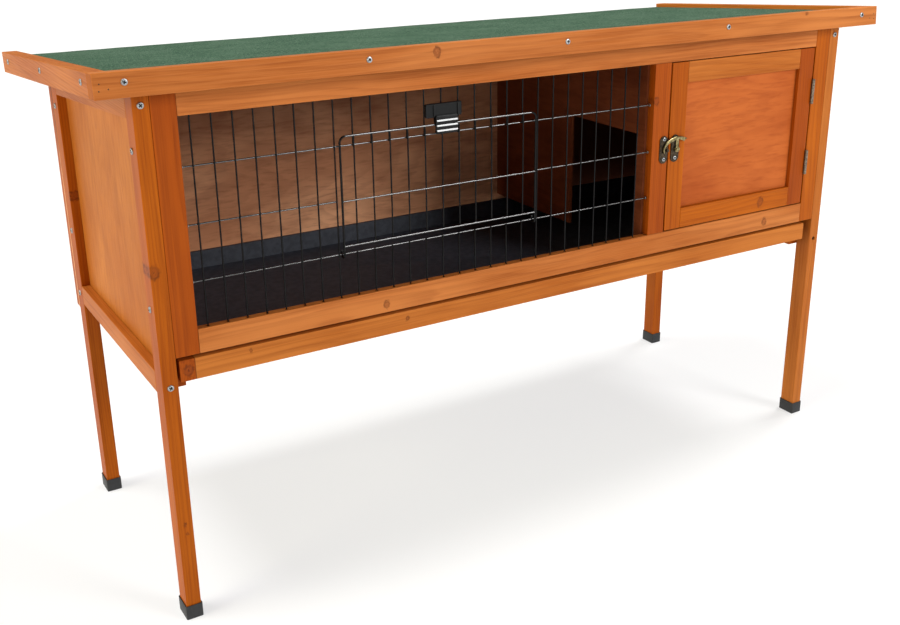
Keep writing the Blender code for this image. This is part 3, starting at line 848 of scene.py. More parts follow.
def rotation_of(turn: Point) -> Matrix:
    """The rotation matrix of a Mapping node's angles."""
    return Euler(turn).to_matrix()


# ---- bench: modelling operators --------------------------------------------------------
class Part(Enum):
    """What edit mode selects: the operator's word and the bmesh collection."""

    POINTS = ("VERT", "verts")
    EDGES = ("EDGE", "edges")
    FACES = ("FACE", "faces")


def settle() -> None:
    """Leave edit mode and deselect everything."""
    if bpy.context.mode != "OBJECT":
        bpy.ops.object.mode_set(mode="OBJECT")
    bpy.ops.object.select_all(action="DESELECT")


def take(obj: bpy.types.Object) -> None:
    """Make an object the only selected one and the active one.

    Args:
        obj: The object.
    """
    settle()
    obj.select_set(True)
    bpy.context.view_layer.objects.active = obj


@contextmanager
def editing(obj: bpy.types.Object) -> Iterator[None]:
    """Work on an object in edit mode.

    Args:
        obj: The object.
    """
    take(obj)
    bpy.ops.object.mode_set(mode="EDIT")
    yield
    bpy.ops.object.mode_set(mode="OBJECT")


def choose(obj: bpy.types.Object, part: Part, test: Callable[[object], bool]) -> int:
    """Select what passes a test in edit mode.

    Args:
        obj: The object that is being edited.
        part: Whether points, edges or faces are selected.
        test: What one of them has to pass.

    Returns:
        How many pass.
    """
    word, collection = part.value
    bpy.ops.mesh.select_mode(type=word)
    bpy.ops.mesh.select_all(action="DESELECT")
    mesh = bmesh.from_edit_mesh(obj.data)
    found = [item for item in getattr(mesh, collection) if test(item)]
    for item in found:
        item.select_set(True)
    mesh.select_flush_mode()
    bmesh.update_edit_mesh(obj.data)
    return len(found)


def faces_to(direction: Point, share: float = 0.9) -> Callable[[bmesh.types.BMFace], bool]:
    """Test for faces that look a given way."""
    aim = Vector(direction).normalized()
    return lambda face: face.normal.dot(aim) > share


def edges_along(direction: Point) -> Callable[[bmesh.types.BMEdge], bool]:
    """Test for edges that run a given way.

    Args:
        direction: The way.

    Returns:
        The test.
    """
    aim = Vector(direction).normalized()

    def test(edge: bmesh.types.BMEdge) -> bool:
        """Whether an edge runs that way."""
        run = edge.verts[1].co - edge.verts[0].co
        return abs(run.normalized().dot(aim)) > 0.99
    return test


def rim_of(direction: Point) -> Callable[[bmesh.types.BMEdge], bool]:
    """Test for the edges round the faces that look a given way."""
    facing = faces_to(direction)
    return lambda edge: sum(facing(face) for face in edge.link_faces) == 1


def name_active(name: str) -> bpy.types.Object:
    """Name the new primitive and bake its place into its mesh.

    Args:
        name: Its name.

    Returns:
        The primitive.
    """
    obj = bpy.context.active_object
    obj.name = obj.data.name = name
    bpy.ops.object.transform_apply(location=True, rotation=True, scale=True)
    return obj


def block(name: str, low: Iterable[float], high: Iterable[float]) -> bpy.types.Object:
    """Add a cuboid between two corners.

    Args:
        name: Its name.
        low: Its low corner.
        high: Its high corner.

    Returns:
        The cuboid.
    """
    settle()
    low, high = Vector(low), Vector(high)
    bpy.ops.mesh.primitive_cube_add(size=1.0, location=(low + high) / 2, scale=high - low)
    return name_active(name)


def bar(name: str, start: Iterable[float], end: Iterable[float], radius: float, sides: int = 12
        ) -> bpy.types.Object:
    """Add a round bar between two points.

    Args:
        name: Its name.
        start: Middle of its first end.
        end: Middle of its other end.
        radius: Half its thickness.
        sides: Faces round it.

    Returns:
        The bar.
    """
    settle()
    start, end = Vector(start), Vector(end)
    turn = (end - start).to_track_quat("Z", "Y").to_euler()
    bpy.ops.mesh.primitive_cylinder_add(vertices=sides, radius=radius, depth=(end - start).length,
                                        location=(start + end) / 2, rotation=turn)
    return name_active(name)


def bevel(obj: bpy.types.Object, test: Callable[[bmesh.types.BMEdge], bool], width: float,
          segments: int = 3) -> None:
    """Round the edges that pass a test.

    Args:
        obj: The object.
        test: What an edge has to pass.
        width: Width of the rounding.
        segments: Faces across it.
    """
    with editing(obj):
        if choose(obj, Part.EDGES, test):
            bpy.ops.mesh.bevel(offset=width, segments=segments, affect="EDGES")


def cut(obj: bpy.types.Object, cutter: bpy.types.Object, operation: str = "DIFFERENCE") -> None:
    """Apply a boolean with a cutter, which is then removed.

    Args:
        obj: What is cut or added to.
        cutter: The cutter.
        operation: DIFFERENCE or UNION.
    """
    take(obj)
    tool = obj.modifiers.new("cut", "BOOLEAN")
    tool.operation, tool.object, tool.material_mode = operation, cutter, "TRANSFER"
    bpy.ops.object.modifier_apply(modifier=tool.name)
    bpy.data.objects.remove(cutter)


def copied(obj: bpy.types.Object, place: Matrix) -> bpy.types.Object:
    """Copy an object with its mesh.

    Args:
        obj: The object.
        place: What moves the copy's mesh.

    Returns:
        The copy.
    """
    twin = obj.copy()
    twin.data = obj.data.copy()
    twin.data.transform(place)
    bpy.context.scene.collection.objects.link(twin)
    return twin


def joined(name: str, parts: Sequence[bpy.types.Object]) -> bpy.types.Object:
    """Join parts into one object.

    Args:
        name: Its name.
        parts: The parts, which are used up.

    Returns:
        The object.
    """
    settle()
    for part in parts:
        part.select_set(True)
    bpy.context.view_layer.objects.active = parts[0]
    if len(parts) > 1:
        bpy.ops.object.join()
    parts[0].name = parts[0].data.name = name
    return parts[0]


def twin_of(node: str, name: str) -> bpy.types.Object:
    """Copy a CAD node's mesh, merged so that it can be cut.

    Args:
        node: The node.
        name: The copy's name.

    Returns:
        The copy.
    """
    twin = bpy.data.objects.new(name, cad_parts[node].data.copy())
    bpy.context.scene.collection.objects.link(twin)
    with editing(twin):
        bpy.ops.mesh.select_all(action="SELECT")
        bpy.ops.mesh.remove_doubles(threshold=TINY)
        bpy.ops.mesh.normals_make_consistent(inside=False)
        bpy.ops.mesh.dissolve_limited(angle_limit=math.radians(0.2))
    return twin


def mount_twin(twin: bpy.types.Object, node: str) -> None:
    """Give a cut copy its CAD node's wood and place it instead of the node.

    Args:
        twin: The copy.
        node: The node, on the frame.
    """
    twin.data.materials.clear()
    twin.data.materials.append(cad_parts[node].material_slots[0].material)
    mount(twin, "frame", None, [node], 20)


def mount(obj: bpy.types.Object, body: str, finish: Optional[Finish] = None,
          replaces: Sequence[str] = (), angle: float = 35.0) -> bpy.types.Object:
    """Shade, dress, and hand a finished piece to the frame.

    Args:
        obj: The piece, with its place in its mesh.
        body: The CAD body that it rides on.
        finish: Its finish, or None where it is dressed already.
        replaces: CAD nodes that it stands for.
        angle: Faces that meet at less than this are shaded as one surface, in degrees.

    Returns:
        The piece.
    """
    take(obj)
    bpy.ops.object.shade_smooth_by_angle(angle=math.radians(angle))
    settle()
    if finish is not None:
        obj.data.materials.clear()
        obj.data.materials.append(finish.material())
    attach(obj, body)
    if replaces:
        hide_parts(*replaces)
    log.info("%s on %s, %d faces", obj.name, body, len(obj.data.polygons))
    return obj


def part_dress(obj: bpy.types.Object, first: Finish, second: Finish,
               test: Callable[[bpy.types.MeshPolygon], bool]) -> None:
    """Dress a piece in one finish, and the faces that pass a test in another of the same slot.

    Args:
        obj: The piece.
        first: The finish of most of it.
        second: The finish of the faces that pass.
        test: What such a face has to pass.
    """
    obj.data.materials.clear()
    for finish in (first, second):
        obj.data.materials.append(finish.material())
    for face in obj.data.polygons:
        face.material_index = int(test(face))


def level_faces(obj: bpy.types.Object) -> Callable[[bpy.types.MeshPolygon], bool]:
    """Test for the long faces of wires that run along X.

    Args:
        obj: The piece that has the wires.

    Returns:
        The test.
    """
    def test(face: bpy.types.MeshPolygon) -> bool:
        """Whether a face is long along X.

        Args:
            face: The face.

        Returns:
            Whether it is more than twice as long along X as along Y and Z.
        """
        corners = [obj.data.vertices[index].co for index in face.vertices]
        spans = [max(c[axis] for c in corners) - min(c[axis] for c in corners) for axis in range(3)]
        return spans[0] > 2.0 * max(spans[1], spans[2])
    return test


def dress(node: str, material: bpy.types.Material) -> None:
    """Give a CAD node a material through its slots.

    Args:
        node: The node.
        material: Its material.
    """
    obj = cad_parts[node]
    if not obj.material_slots:
        obj.data.materials.append(material)
    for slot in obj.material_slots:
        slot.material = material
    log.info("%s dressed with %s", node, material.name)


class BentWire:
    """A round wire made from a ring of edges that is extruded along runs and spun at bends."""

    def __init__(self, name: str, start: Point, heading: Point, radius: float, sides: int = 12
                 ) -> None:
        """Set the first ring.

        Args:
            name: The wire's name.
            start: Its first end.
            heading: Where it sets off to.
            radius: Half its thickness.
            sides: Points round it.
        """
        settle()
        turn = Vector(heading).to_track_quat("Z", "Y").to_euler()
        bpy.ops.mesh.primitive_circle_add(vertices=sides, radius=radius, location=start, rotation=turn)
        self.obj = name_active(name)
        take(self.obj)
        bpy.ops.object.mode_set(mode="EDIT")
        bpy.ops.mesh.select_mode(type="EDGE")
        bpy.ops.mesh.select_all(action="SELECT")

    def run(self, x: float = 0.0, y: float = 0.0, z: float = 0.0) -> "BentWire":
        """Go straight by a step."""
        bpy.ops.mesh.extrude_region_move(TRANSFORM_OT_translate={"value": (x, y, z)})
        return self

    def bend(self, centre: Point, axis: Point, degrees: float, steps: int = 8) -> "BentWire":
        """Turn about a centre, right-handed round the axis."""
        bpy.ops.mesh.spin(steps=steps, angle=-math.radians(degrees), center=centre, axis=axis)
        return self

    def done(self) -> bpy.types.Object:
        """Close both ends.

        Returns:
            The wire.
        """
        bpy.ops.mesh.select_all(action="SELECT")
        bpy.ops.mesh.remove_doubles(threshold=TINY)
        bpy.ops.mesh.fill_holes(sides=0)
        bpy.ops.mesh.select_all(action="SELECT")
        bpy.ops.mesh.normals_make_consistent(inside=False)
        bpy.ops.object.mode_set(mode="OBJECT")
        return self.obj


# ---- fasteners -------------------------------------------------------------------------
@dataclass
class CrossScrew:
    """A pan-head screw with a cross recess, looking towards -Y."""

    radius: float = 0.0040
    height: float = 0.0016
    finish: Finish = Finish.ZINC
    dome: float = 0.72
    cross_arm: float = 0.60
    cross_half: float = 0.19
    cross_floor: float = 0.30
    template: Optional[bpy.types.Object] = field(default=None, init=False)

    def build(self) -> bpy.types.Object:
        """Model one head with its rim on the XZ plane.

        Returns:
            The head.
        """
        head = bar("screw_head", (0, 0, 0), (0, -self.height, 0), self.radius, 28)
        bevel(head, rim_of((0, -1, 0)), self.height * self.dome, 4)
        head.data.materials.append(self.finish.material())
        arm, width = self.radius * self.cross_arm, self.radius * self.cross_half
        for low, high in (((-arm, -width), (arm, width)), ((-width, -arm), (width, arm))):
            cutter = block("cross", (low[0], -self.height * 1.2, low[1]),
                           (high[0], -self.height * self.cross_floor, high[1]))
            # the recess faces take painted shade from the cutter's finish
            cutter.data.materials.append(Finish.RECESS.material())
            cut(head, cutter)
        self.template = head
        return head

    def fix(self, name: str, places: Sequence[tuple[Point, Point, float]], body: str,
            replaces: Sequence[str] = ()) -> None:
        """Copy the head to its places and mount the copies as one piece.

        Args:
            name: The piece's name.
            places: For each screw its point, the way that it looks, and its turn in degrees.
            body: The CAD body that it rides on.
            replaces: CAD nodes that it stands for.
        """
        source = self.template or self.build()
        heads = []
        for point, facing, degrees in places:
            aim = Vector((0, -1, 0)).rotation_difference(Vector(facing)).to_matrix().to_4x4()
            spin = Matrix.Rotation(math.radians(degrees), 4, "Y")
            heads.append(copied(source, Matrix.Translation(Vector(point)) @ aim @ spin))
        piece = mount(joined(name, heads), body, None, replaces)

    def clear(self) -> None:
        """Remove the template."""
        if self.template is not None:
            bpy.data.objects.remove(self.template)


@dataclass
class Fasteners:
    """Screws and brads that hold the legs, the fascias and the side frames.

    The rows of the fascias give each screw's place in millimetres and its turn in degrees,
    those of the legs its millimetres from the leg's edge, its height and its turn, and the
    brads' theirs in millimetres and how far they are below the roof's top.
    """

    fascia_drop: float = 0.0115
    front_row: tuple[tuple[float, float], ...] = ((-13, 20), (272, 50), (560, 5), (845, 70), (1127, 35))
    side_row: tuple[tuple[float, float], ...] = ((16, 15), (225, 60), (432, 40))
    leg_front_rows: tuple[Point, ...] = ((18, 0.610, 30), (16, 0.422, 65))
    leg_rear_rows: tuple[Point, ...] = ((14, 0.600, 10), (14, 0.420, 80), (14, 0.325, 45))
    brad_rows: tuple[tuple[float, float], ...] = ((-39, 0.0115), (-40, 0.0190), (-30, 0.0175))
    upper_z: float = 0.663
    bore_radius: float = 0.0034
    bore_depth: float = 0.0034

    def build(self) -> None:
        """Model every screw and brad."""
        self.fascia_screws()
        self.leg_screws()
        self.brads()

    @staticmethod
    def fascia_face(drop: float) -> float:
        """World Y of the leaning front fascia's face.

        Args:
            drop: How far below its top.

        Returns:
            The world Y.
        """
        low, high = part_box("left_fascia")
        tall = high.z - low.z - (high.y - low.y) * math.tan(roof_slope())
        return AT.roof_front + (tall - drop) * math.tan(roof_slope())

    def fascia_screws(self) -> None:
        """Five screws along the front fascia and three along each side one."""
        lean, drop = roof_slope(), self.fascia_drop
        out = (0, -math.cos(lean), math.sin(lean))
        screw = CrossScrew(0.0037, 0.0014)
        front = [((AT.across(x), self.fascia_face(drop), AT.roof_top - drop), out, turn)
                 for x, turn in self.front_row]
        sides = []
        for side, node in ((-1, "left_fascia"), (1, "right_fascia")):
            low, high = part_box(node)
            x = low.x if side < 0 else high.x
            for y, turn in self.side_row:
                depth = AT.deep(y)
                z = AT.roof_top - drop - (depth - AT.roof_front) * math.tan(lean)
                sides.append(((x, depth, z), (side, 0, 0), turn))
        screw.fix("fascia_screws", front + sides, "frame")
        screw.clear()

    def leg_screws(self) -> None:
        """Screws through the legs' fronts and sides; two stand for the CAD ones."""
        screw = CrossScrew(0.0040, 0.0015)
        front = AT.front
        low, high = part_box("leg_screw_left")
        lower = [(((low.x + high.x) / 2, front, (low.z + high.z) / 2), (0, -1, 0), 25.0)]
        screw.fix("leg_front_screw_left", lower, "frame", ["leg_screw_left"])
        upper = [((AT.across(9.3), front, self.upper_z), (0, -1, 0), 55.0)]
        places = []
        for x, out in ((AT.left, -1), (AT.right, 1)):
            places += [((x, AT.deep(y), z), (out, 0, 0), turn) for y, z, turn in self.leg_front_rows]
            places += [((x, AT.back - y * MM, z), (out, 0, 0), turn)
                       for y, z, turn in self.leg_rear_rows]
        places.append(((AT.across(1106.5), front, self.upper_z), (0, -1, 0), 15.0))
        screw.fix("leg_side_screws", upper + places, "frame")
        screw.clear()
        self.sunk_screw()

    def sunk_screw(self) -> None:
        """The right leg's screw, driven below the face in a counterbore."""
        low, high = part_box("leg_screw_right")
        x, z = (low.x + high.x) / 2, (low.z + high.z) / 2
        leg = twin_of("leg_front_right", "front_leg_right_bored")
        cut(leg, bar("counterbore", (x, AT.front - 0.002, z), (x, AT.front + self.bore_depth, z),
                     self.bore_radius, 24))
        mount_twin(leg, "leg_front_right")
        # the sunk head is painted dark zinc for the shade in its counterbore
        screw = CrossScrew(0.0030, 0.0010, Finish.RECESS)
        screw.fix("leg_front_screw_right", [((x, AT.front + 0.0033, z), (0, -1, 0), 40.0)], "frame",
                  ["leg_screw_right"])
        screw.clear()

    def brads(self) -> None:
        """Small sunk brads at the front fascia's ends."""
        heads = []
        for x, drop in self.brad_rows:
            y, z = self.fascia_face(drop), AT.roof_top - drop
            for side in (1, -1):
                centre = AT.across(x) * side
                head = bar("brad", (centre, y - 0.0002, z), (centre, y + 0.0010, z), 0.0009, 10)
                bevel(head, rim_of((0, -1, 0)), 0.0003, 2)
                heads.append(head)
        mount(joined("fascia_brads", heads), "frame", Finish.PLATE)


# ---- wire front ------------------------------------------------------------------------
@dataclass
class WireFront:
    """Welded wire in front of the run: uprights before three level wires.

    The depths are millimetres behind the front face, the rest is in metres.
    """

    radius: float = 0.0010
    pitch: float = 0.0251
    first: float = 0.0632
    count: int = 27
    row_pitch: float = 0.0692
    lowest_row: float = 0.449
    opening: range = range(8, 19)
    upright_depth: float = 6.0
    level_depth: float = 7.4
    socket_depth: float = 0.006
    socket_radius: float = 0.0022
    bead_radius: float = 0.00135
    stub: float = 0.0016
    end_gap: float = 0.0002
    staple_radius: float = 0.0005
    staple_reach: float = 0.0022
    staple_bend: float = 0.0017

    def x(self, index: int) -> float:
        """World X of an upright."""
        return AT.left + self.first + self.pitch * index

    def row(self, index: int) -> float:
        """World Z of a level wire."""
        return self.lowest_row + self.row_pitch * index

    def build(self) -> None:
        """Model the wires and drill the rail that they stand in."""
        self.wires()
        self.drilled_rail()
        self.staples()

    def wires(self) -> None:
        """Uprights, level wires and the fused beads where they cross."""
        y, level_y = AT.deep(self.upright_depth), AT.deep(self.level_depth)
        foot, head = AT.rail_top - self.socket_depth, AT.head - self.end_gap
        ends = (self.row(0) + self.stub, self.row(2) - self.stub)
        spans = {"whole": (foot, head), "low": (foot, ends[0]), "high": (ends[1], head)}
        patterns = {key: bar(key, (0, y, z0), (0, y, z1), self.radius, 10)
                    for key, (z0, z1) in spans.items()}
        bevel(patterns["low"], rim_of((0, 0, 1)), 0.0003, 2)
        bevel(patterns["high"], rim_of((0, 0, -1)), 0.0003, 2)
        settle()
        bpy.ops.mesh.primitive_ico_sphere_add(subdivisions=2, radius=self.bead_radius)
        bead = name_active("bead")
        middle = (y + level_y) / 2
        pieces, beads = [], []
        for index in range(self.count):
            shift = Matrix.Translation((self.x(index), 0, 0))
            cut_away = index in self.opening
            for key in (("low", "high") if cut_away else ("whole",)):
                pieces.append(copied(patterns[key], shift))
            for row in (0, 2) if cut_away else (0, 1, 2):
                beads.append(copied(bead, Matrix.Translation((self.x(index), middle, self.row(row)))))
        left, right = AT.stile_edge + self.end_gap, AT.mullion - self.end_gap
        gap = (self.x(self.opening[0] - 1) + self.stub, self.x(self.opening[-1] + 1) - self.stub)
        for x0, x1, row in ((left, right, 0), (left, right, 2), (left, gap[0], 1), (gap[1], right, 1)):
            pieces.append(bar("level", (x0, level_y, self.row(row)), (x1, level_y, self.row(row)),
                              self.radius, 10))
        for pattern in (*patterns.values(), bead):
            bpy.data.objects.remove(pattern)
        panel = mount(joined("run_wires", pieces + beads), "frame", None, ["mesh_panel"], 50)
        # the level wires' faces take the lighter, glossier copy of the coating for their painted sheen
        part_dress(panel, Finish.WIRE, Finish.LEVEL_WIRE, level_faces(panel))

    def drilled_rail(self) -> None:
        """The bottom rail with a drilled socket under each upright."""
        rail = twin_of("front_bottom_rail", "bottom_rail_drilled")
        y, top = AT.deep(self.upright_depth), AT.rail_top
        drills = [bar("drill", (self.x(i), y, top - self.socket_depth), (self.x(i), y, top + 0.002),
                      self.socket_radius, 14) for i in range(self.count)]
        cut(rail, joined("drills", drills))
        mount_twin(rail, "front_bottom_rail")

    def staples(self) -> None:
        """Wire staples that tie the level wires to the stile and the mullion."""
        pieces = []
        y = AT.deep(self.level_depth)
        for row in (0, 1, 2):
            for edge, side in ((AT.stile_edge, 1), (AT.mullion, -1)):
                x, z = edge + side * self.staple_reach, self.row(row)
                start = (x, y + self.staple_reach, z + self.staple_bend)
                wire = BentWire("staple", start, (0, -1, 0), self.staple_radius, 8)
                wire.run(y=-self.staple_reach).bend((x, y, z), (1, 0, 0), 180, 8)
                wire.run(y=self.staple_reach)
                pieces.append(wire.done())
        mount(joined("wire_staples", pieces), "frame", Finish.ZINC)


@dataclass
class WireDoor:
    """A bent wire loop with bars, hooked round the lowest level wire.

    The depth, left and right are millimetres from the front face and the left leg, the
    rest is in metres.
    """

    front: WireFront
    loop_radius: float = 0.0014
    depth: float = 3.0
    left: float = 244.8
    right: float = 535.2
    top: float = 0.600
    foot: float = 0.460
    corner: float = 0.008
    hook_turn: float = 240.0
    bar_setback: float = 0.0006

    def build(self) -> None:
        """Model the loop, its hooks and its bars."""
        y, level = AT.deep(self.depth), AT.deep(self.front.level_depth)
        left, right, row = AT.across(self.left), AT.across(self.right), self.front.row(0)
        start = (left, *self.on_hook(level, row, level - y, self.hook_turn))
        heading = self.hook_heading(self.hook_turn)
        loop = BentWire("small_wire_door", start, heading, self.loop_radius, 12)
        loop.bend((left, level, row), (1, 0, 0), -self.hook_turn, 16)
        loop.run(z=self.top - self.corner - row)
        loop.bend((left + self.corner, y, self.top - self.corner), (0, 1, 0), 90, 8)
        loop.run(x=right - left - 2 * self.corner)
        loop.bend((right - self.corner, y, self.top - self.corner), (0, 1, 0), 90, 8)
        loop.run(z=-(self.top - self.corner - row))
        loop.bend((right, level, row), (1, 0, 0), self.hook_turn, 16)
        pieces = [loop.done()]
        for z, radius in ((self.foot, self.loop_radius * 0.9), (self.front.row(1), self.front.radius)):
            pieces.append(bar("cross_bar", (left, y, z), (right, y, z), radius, 12))
        for index in self.front.opening:
            x, bar_y = self.front.x(index), y + self.bar_setback
            pieces.append(bar("upright", (x, bar_y, self.foot), (x, bar_y, self.top),
                              self.front.radius, 10))
        door = mount(joined("small_wire_door", pieces), "wire_door", None, ["wire_door"], 50)
        # the door's level wires take the lighter, glossier copy of the coating for their painted sheen
        part_dress(door, Finish.WIRE, Finish.LEVEL_WIRE, level_faces(door))

    @staticmethod
    def on_hook(y: float, z: float, reach: float, degrees: float) -> tuple[float, float]:
        """Point on the hook's circle that is so many degrees under and behind its front."""
        angle = math.pi + math.radians(degrees)
        return y + reach * math.cos(angle), z + reach * math.sin(angle)

    @staticmethod
    def hook_heading(degrees: float) -> Point:
        """Direction from the hook's open end back along its circle towards the front."""
        angle = math.pi + math.radians(degrees)
        return 0.0, math.sin(angle), -math.cos(angle)


@dataclass
class Catch:
    """Plastic catch on the wire door's top wire: a housing with guides and a ribbed tongue."""

    foot: float = 0.609
    guide_width: float = 0.0022
    guide_gap: float = 0.0004
    rib_rows: tuple[float, ...] = (0.5925, 0.5990, 0.6055)
    rib_half: float = 0.0010
    rib_lean: float = 0.0007
    rib_inset: float = 0.0010
    plate_thickness: float = 0.0022

    def build(self) -> None:
        """Model the housing and the tongue in their CAD boxes."""
        self.housing(*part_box("catch_housing"), *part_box("catch_slider"))
        self.tongue(*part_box("catch_slider"))

    def housing(self, low: Vector, high: Vector, t_low: Vector, t_high: Vector) -> None:
        """The housing, with a saddle on the wire and a guide either side of the tongue.

        Args:
            low: Low corner of the housing's box.
            high: High corner of the housing's box.
            t_low: Low corner of the tongue's box.
            t_high: High corner of the tongue's box.
        """
        shell = block("catch_body", (low.x, low.y, self.foot), high)
        bevel(shell, edges_along((0, 1, 0)), 0.0016, 3)
        bevel(shell, rim_of((0, -1, 0)), 0.0006, 1)
        saddle = block("saddle", (t_low.x, low.y, low.z), (t_high.x, high.y, self.foot + 0.0005))
        bevel(saddle, edges_along((0, 1, 0)), 0.0006, 2)
        cut(shell, saddle, "UNION")
        for edge, side in ((t_low.x, -1), (t_high.x, 1)):
            near, far = edge + side * self.guide_gap, edge + side * (self.guide_gap + self.guide_width)
            guide = block("guide", (min(near, far), low.y - 0.0012, self.foot + 0.0012),
                          (max(near, far), low.y + 0.0005, high.z - 0.0018))
            bevel(guide, rim_of((0, -1, 0)), 0.0004, 2)
            cut(shell, guide, "UNION")
        mount(shell, "wire_door", Finish.CATCH, ["catch_housing"])

    def tongue(self, low: Vector, high: Vector) -> None:
        """The tongue, with three thumb ribs whose faces lean back.

        Args:
            low: Low corner of its box.
            high: High corner of its box.
        """
        face = high.y - self.plate_thickness
        plate = block("catch_tongue", (low.x, face, low.z), high)
        bevel(plate, edges_along((0, 1, 0)), 0.0022, 4)
        bevel(plate, rim_of((0, -1, 0)), 0.0004, 2)
        for z in self.rib_rows:
            rib = block("rib", (low.x + self.rib_inset, low.y, z - self.rib_half),
                        (high.x - self.rib_inset, face + 0.0006, z + self.rib_half))
            with editing(rib):
                choose(rib, Part.EDGES, lambda edge: all(
                    corner.co.y < face and corner.co.z > z for corner in edge.verts))
                bpy.ops.transform.translate(value=(0, self.rib_lean, 0))
            cut(plate, rib, "UNION")
        mount(plate, "catch", None, ["catch_slider"])
        # the rib faces take the lighter, glossier copy for their painted highlight
        part_dress(plate, Finish.CATCH, Finish.RIB, lambda rib_face: rib_face.center.y < face - 0.0001)


# ---- latch -----------------------------------------------------------------------------
@dataclass
class HornLatch:
    """Cast latch: two plates, and a horn that turns on the door's plate.

    The pivot and the stud are millimetres from the left leg, the rest is in metres.
    """

    pivot: float = 785.5
    stud: float = 766.8
    height: float = 0.519
    plate_width: float = 0.0155
    plate_thickness: float = 0.0015
    horn_reach: tuple[float, float] = (0.0255, 0.0180)
    horn_sweep: tuple[float, float] = (196.0, 42.0)
    horn_stations: int = 30
    hub_radius: float = 0.0043
    screw_rows: dict[str, tuple[float, ...]] = field(default_factory=lambda: {
        "latch_frame_plate": (0.536, 0.506), "latch_door_plate": (0.506,)})

    def build(self) -> None:
        """Model the plates, their screws, the horn and its rivet."""
        self.plate("latch_frame_plate", "keeper_plate", "frame", AT.across(self.stud), 0.0022, 0.0060)
        self.plate("latch_door_plate", "latch_base_plate", "door", AT.across(self.pivot), 0.0020, 0.0050)
        self.horn()
        rivet = bar("horn_rivet", (AT.across(self.pivot), AT.front - 0.0055, self.height),
                    (AT.across(self.pivot), AT.front - 0.0067, self.height), 0.0034, 24)
        bevel(rivet, rim_of((0, -1, 0)), 0.0009, 4)
        mount(rivet, "door", Finish.HORN, ["latch_rivet"])

    def plate(self, node: str, name: str, body: str, post_x: float, post: float, reach: float
              ) -> None:
        """A plate with round ends, a cast rim, a post and its screws.

        Args:
            node: The CAD node that it stands for.
            name: The new piece's name.
            body: The CAD body.
            post_x: World X of the post.
            post: The post's radius.
            reach: How far the post stands in front of the wood.
        """
        low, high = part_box(node)
        x = (low.x + high.x) / 2 if body == "door" else low.x + self.plate_width / 2
        face, seat, radius = AT.front - self.plate_thickness, high.y, self.plate_width / 2
        middle, half = (low.z + high.z) / 2, (high.z - low.z) / 2
        plate = bar(name, (x, seat, middle), (x, face, middle), radius, 32)
        stretch = half - radius
        with editing(plate):
            for side in (1, -1):
                choose(plate, Part.POINTS, lambda v, s=side: (v.co.z - middle) * s > TINY)
                bpy.ops.transform.translate(value=(0, 0, side * stretch))
            choose(plate, Part.FACES, faces_to((0, -1, 0)))
            bpy.ops.mesh.inset(thickness=0.0013)
            bpy.ops.transform.translate(value=(0, 0.0005, 0))
            bpy.ops.mesh.inset(thickness=0.0022)
            bpy.ops.transform.translate(value=(0, -0.0003, 0))
        bevel(plate, lambda e: all(abs(v.co.y - face) < TINY for v in e.verts), 0.00035, 2)
        boss = bar("boss", (post_x, face + 0.0006, self.height), (post_x, face - 0.0004, self.height),
                   post + 0.0018, 24)
        bevel(boss, rim_of((0, -1, 0)), 0.0003, 2)
        stud = bar("post", (post_x, face + 0.0006, self.height), (post_x, AT.front - reach, self.height),
                   post, 20)
        bevel(stud, rim_of((0, -1, 0)), 0.0007, 3)
        cut(plate, boss, "UNION")
        cut(plate, stud, "UNION")
        mount(plate, body, Finish.PLATE, [node], 30)
        screw = CrossScrew(0.0030, 0.0014)
        places = [((x, face + 0.0001, z), (0, -1, 0), 30.0 + 40 * i)
                  for i, z in enumerate(self.screw_rows[node])]
        screw.fix(f"{name}_screws", places, body)
        screw.clear()

    def horn(self) -> None:
        """The crescent horn: stations along an ellipse arc, joined by faces, with a hub and a neck."""
        x, z = AT.across(self.pivot), self.height
        back, front = AT.front - 0.0019, AT.front - 0.0049
        section = ((0.0, back), (0.0, front + 0.0005), (0.14, front), (0.30, front + 0.0001),
                   (0.42, front + 0.0009), (0.88, front + 0.0011), (1.0, front + 0.0016), (1.0, back))
        mesh = bmesh.new()
        rings = []
        for step in range(self.horn_stations + 1):
            outer, way, width = self.station(step / self.horn_stations)
            ring = []
            for inward, y in section:
                spot = outer - way * width * inward
                ring.append(mesh.verts.new((spot.x, y, spot.y)))
            rings.append(ring)
        for first, second in zip(rings, rings[1:]):
            for i in range(len(first)):
                j = (i + 1) % len(first)
                mesh.faces.new((first[i], first[j], second[j], second[i]))
        mesh.faces.new(list(reversed(rings[0])))
        mesh.faces.new(rings[-1])
        bmesh.ops.recalc_face_normals(mesh, faces=mesh.faces)
        data = bpy.data.meshes.new("horn")
        mesh.to_mesh(data)
        mesh.free()
        horn = bpy.data.objects.new("horn", data)
        bpy.context.scene.collection.objects.link(horn)
        bevel(horn, lambda e: len(e.link_faces) == 2 and e.calc_face_angle(0) > 1.2, 0.00035, 2)
        hub = bar("hub", (x, back, z), (x, front + 0.0002, z), self.hub_radius, 28)
        bevel(hub, rim_of((0, -1, 0)), 0.0008, 3)
        neck = block("neck", (x - 0.0024, front + 0.0008, z + 0.001), (x + 0.0024, back, z + 0.0150))
        bevel(neck, edges_along((0, 0, 1)), 0.0007, 3)
        cut(horn, neck, "UNION")
        cut(horn, hub, "UNION")
        mount(horn, "latch", Finish.HORN, ["latch_hook"], 40)

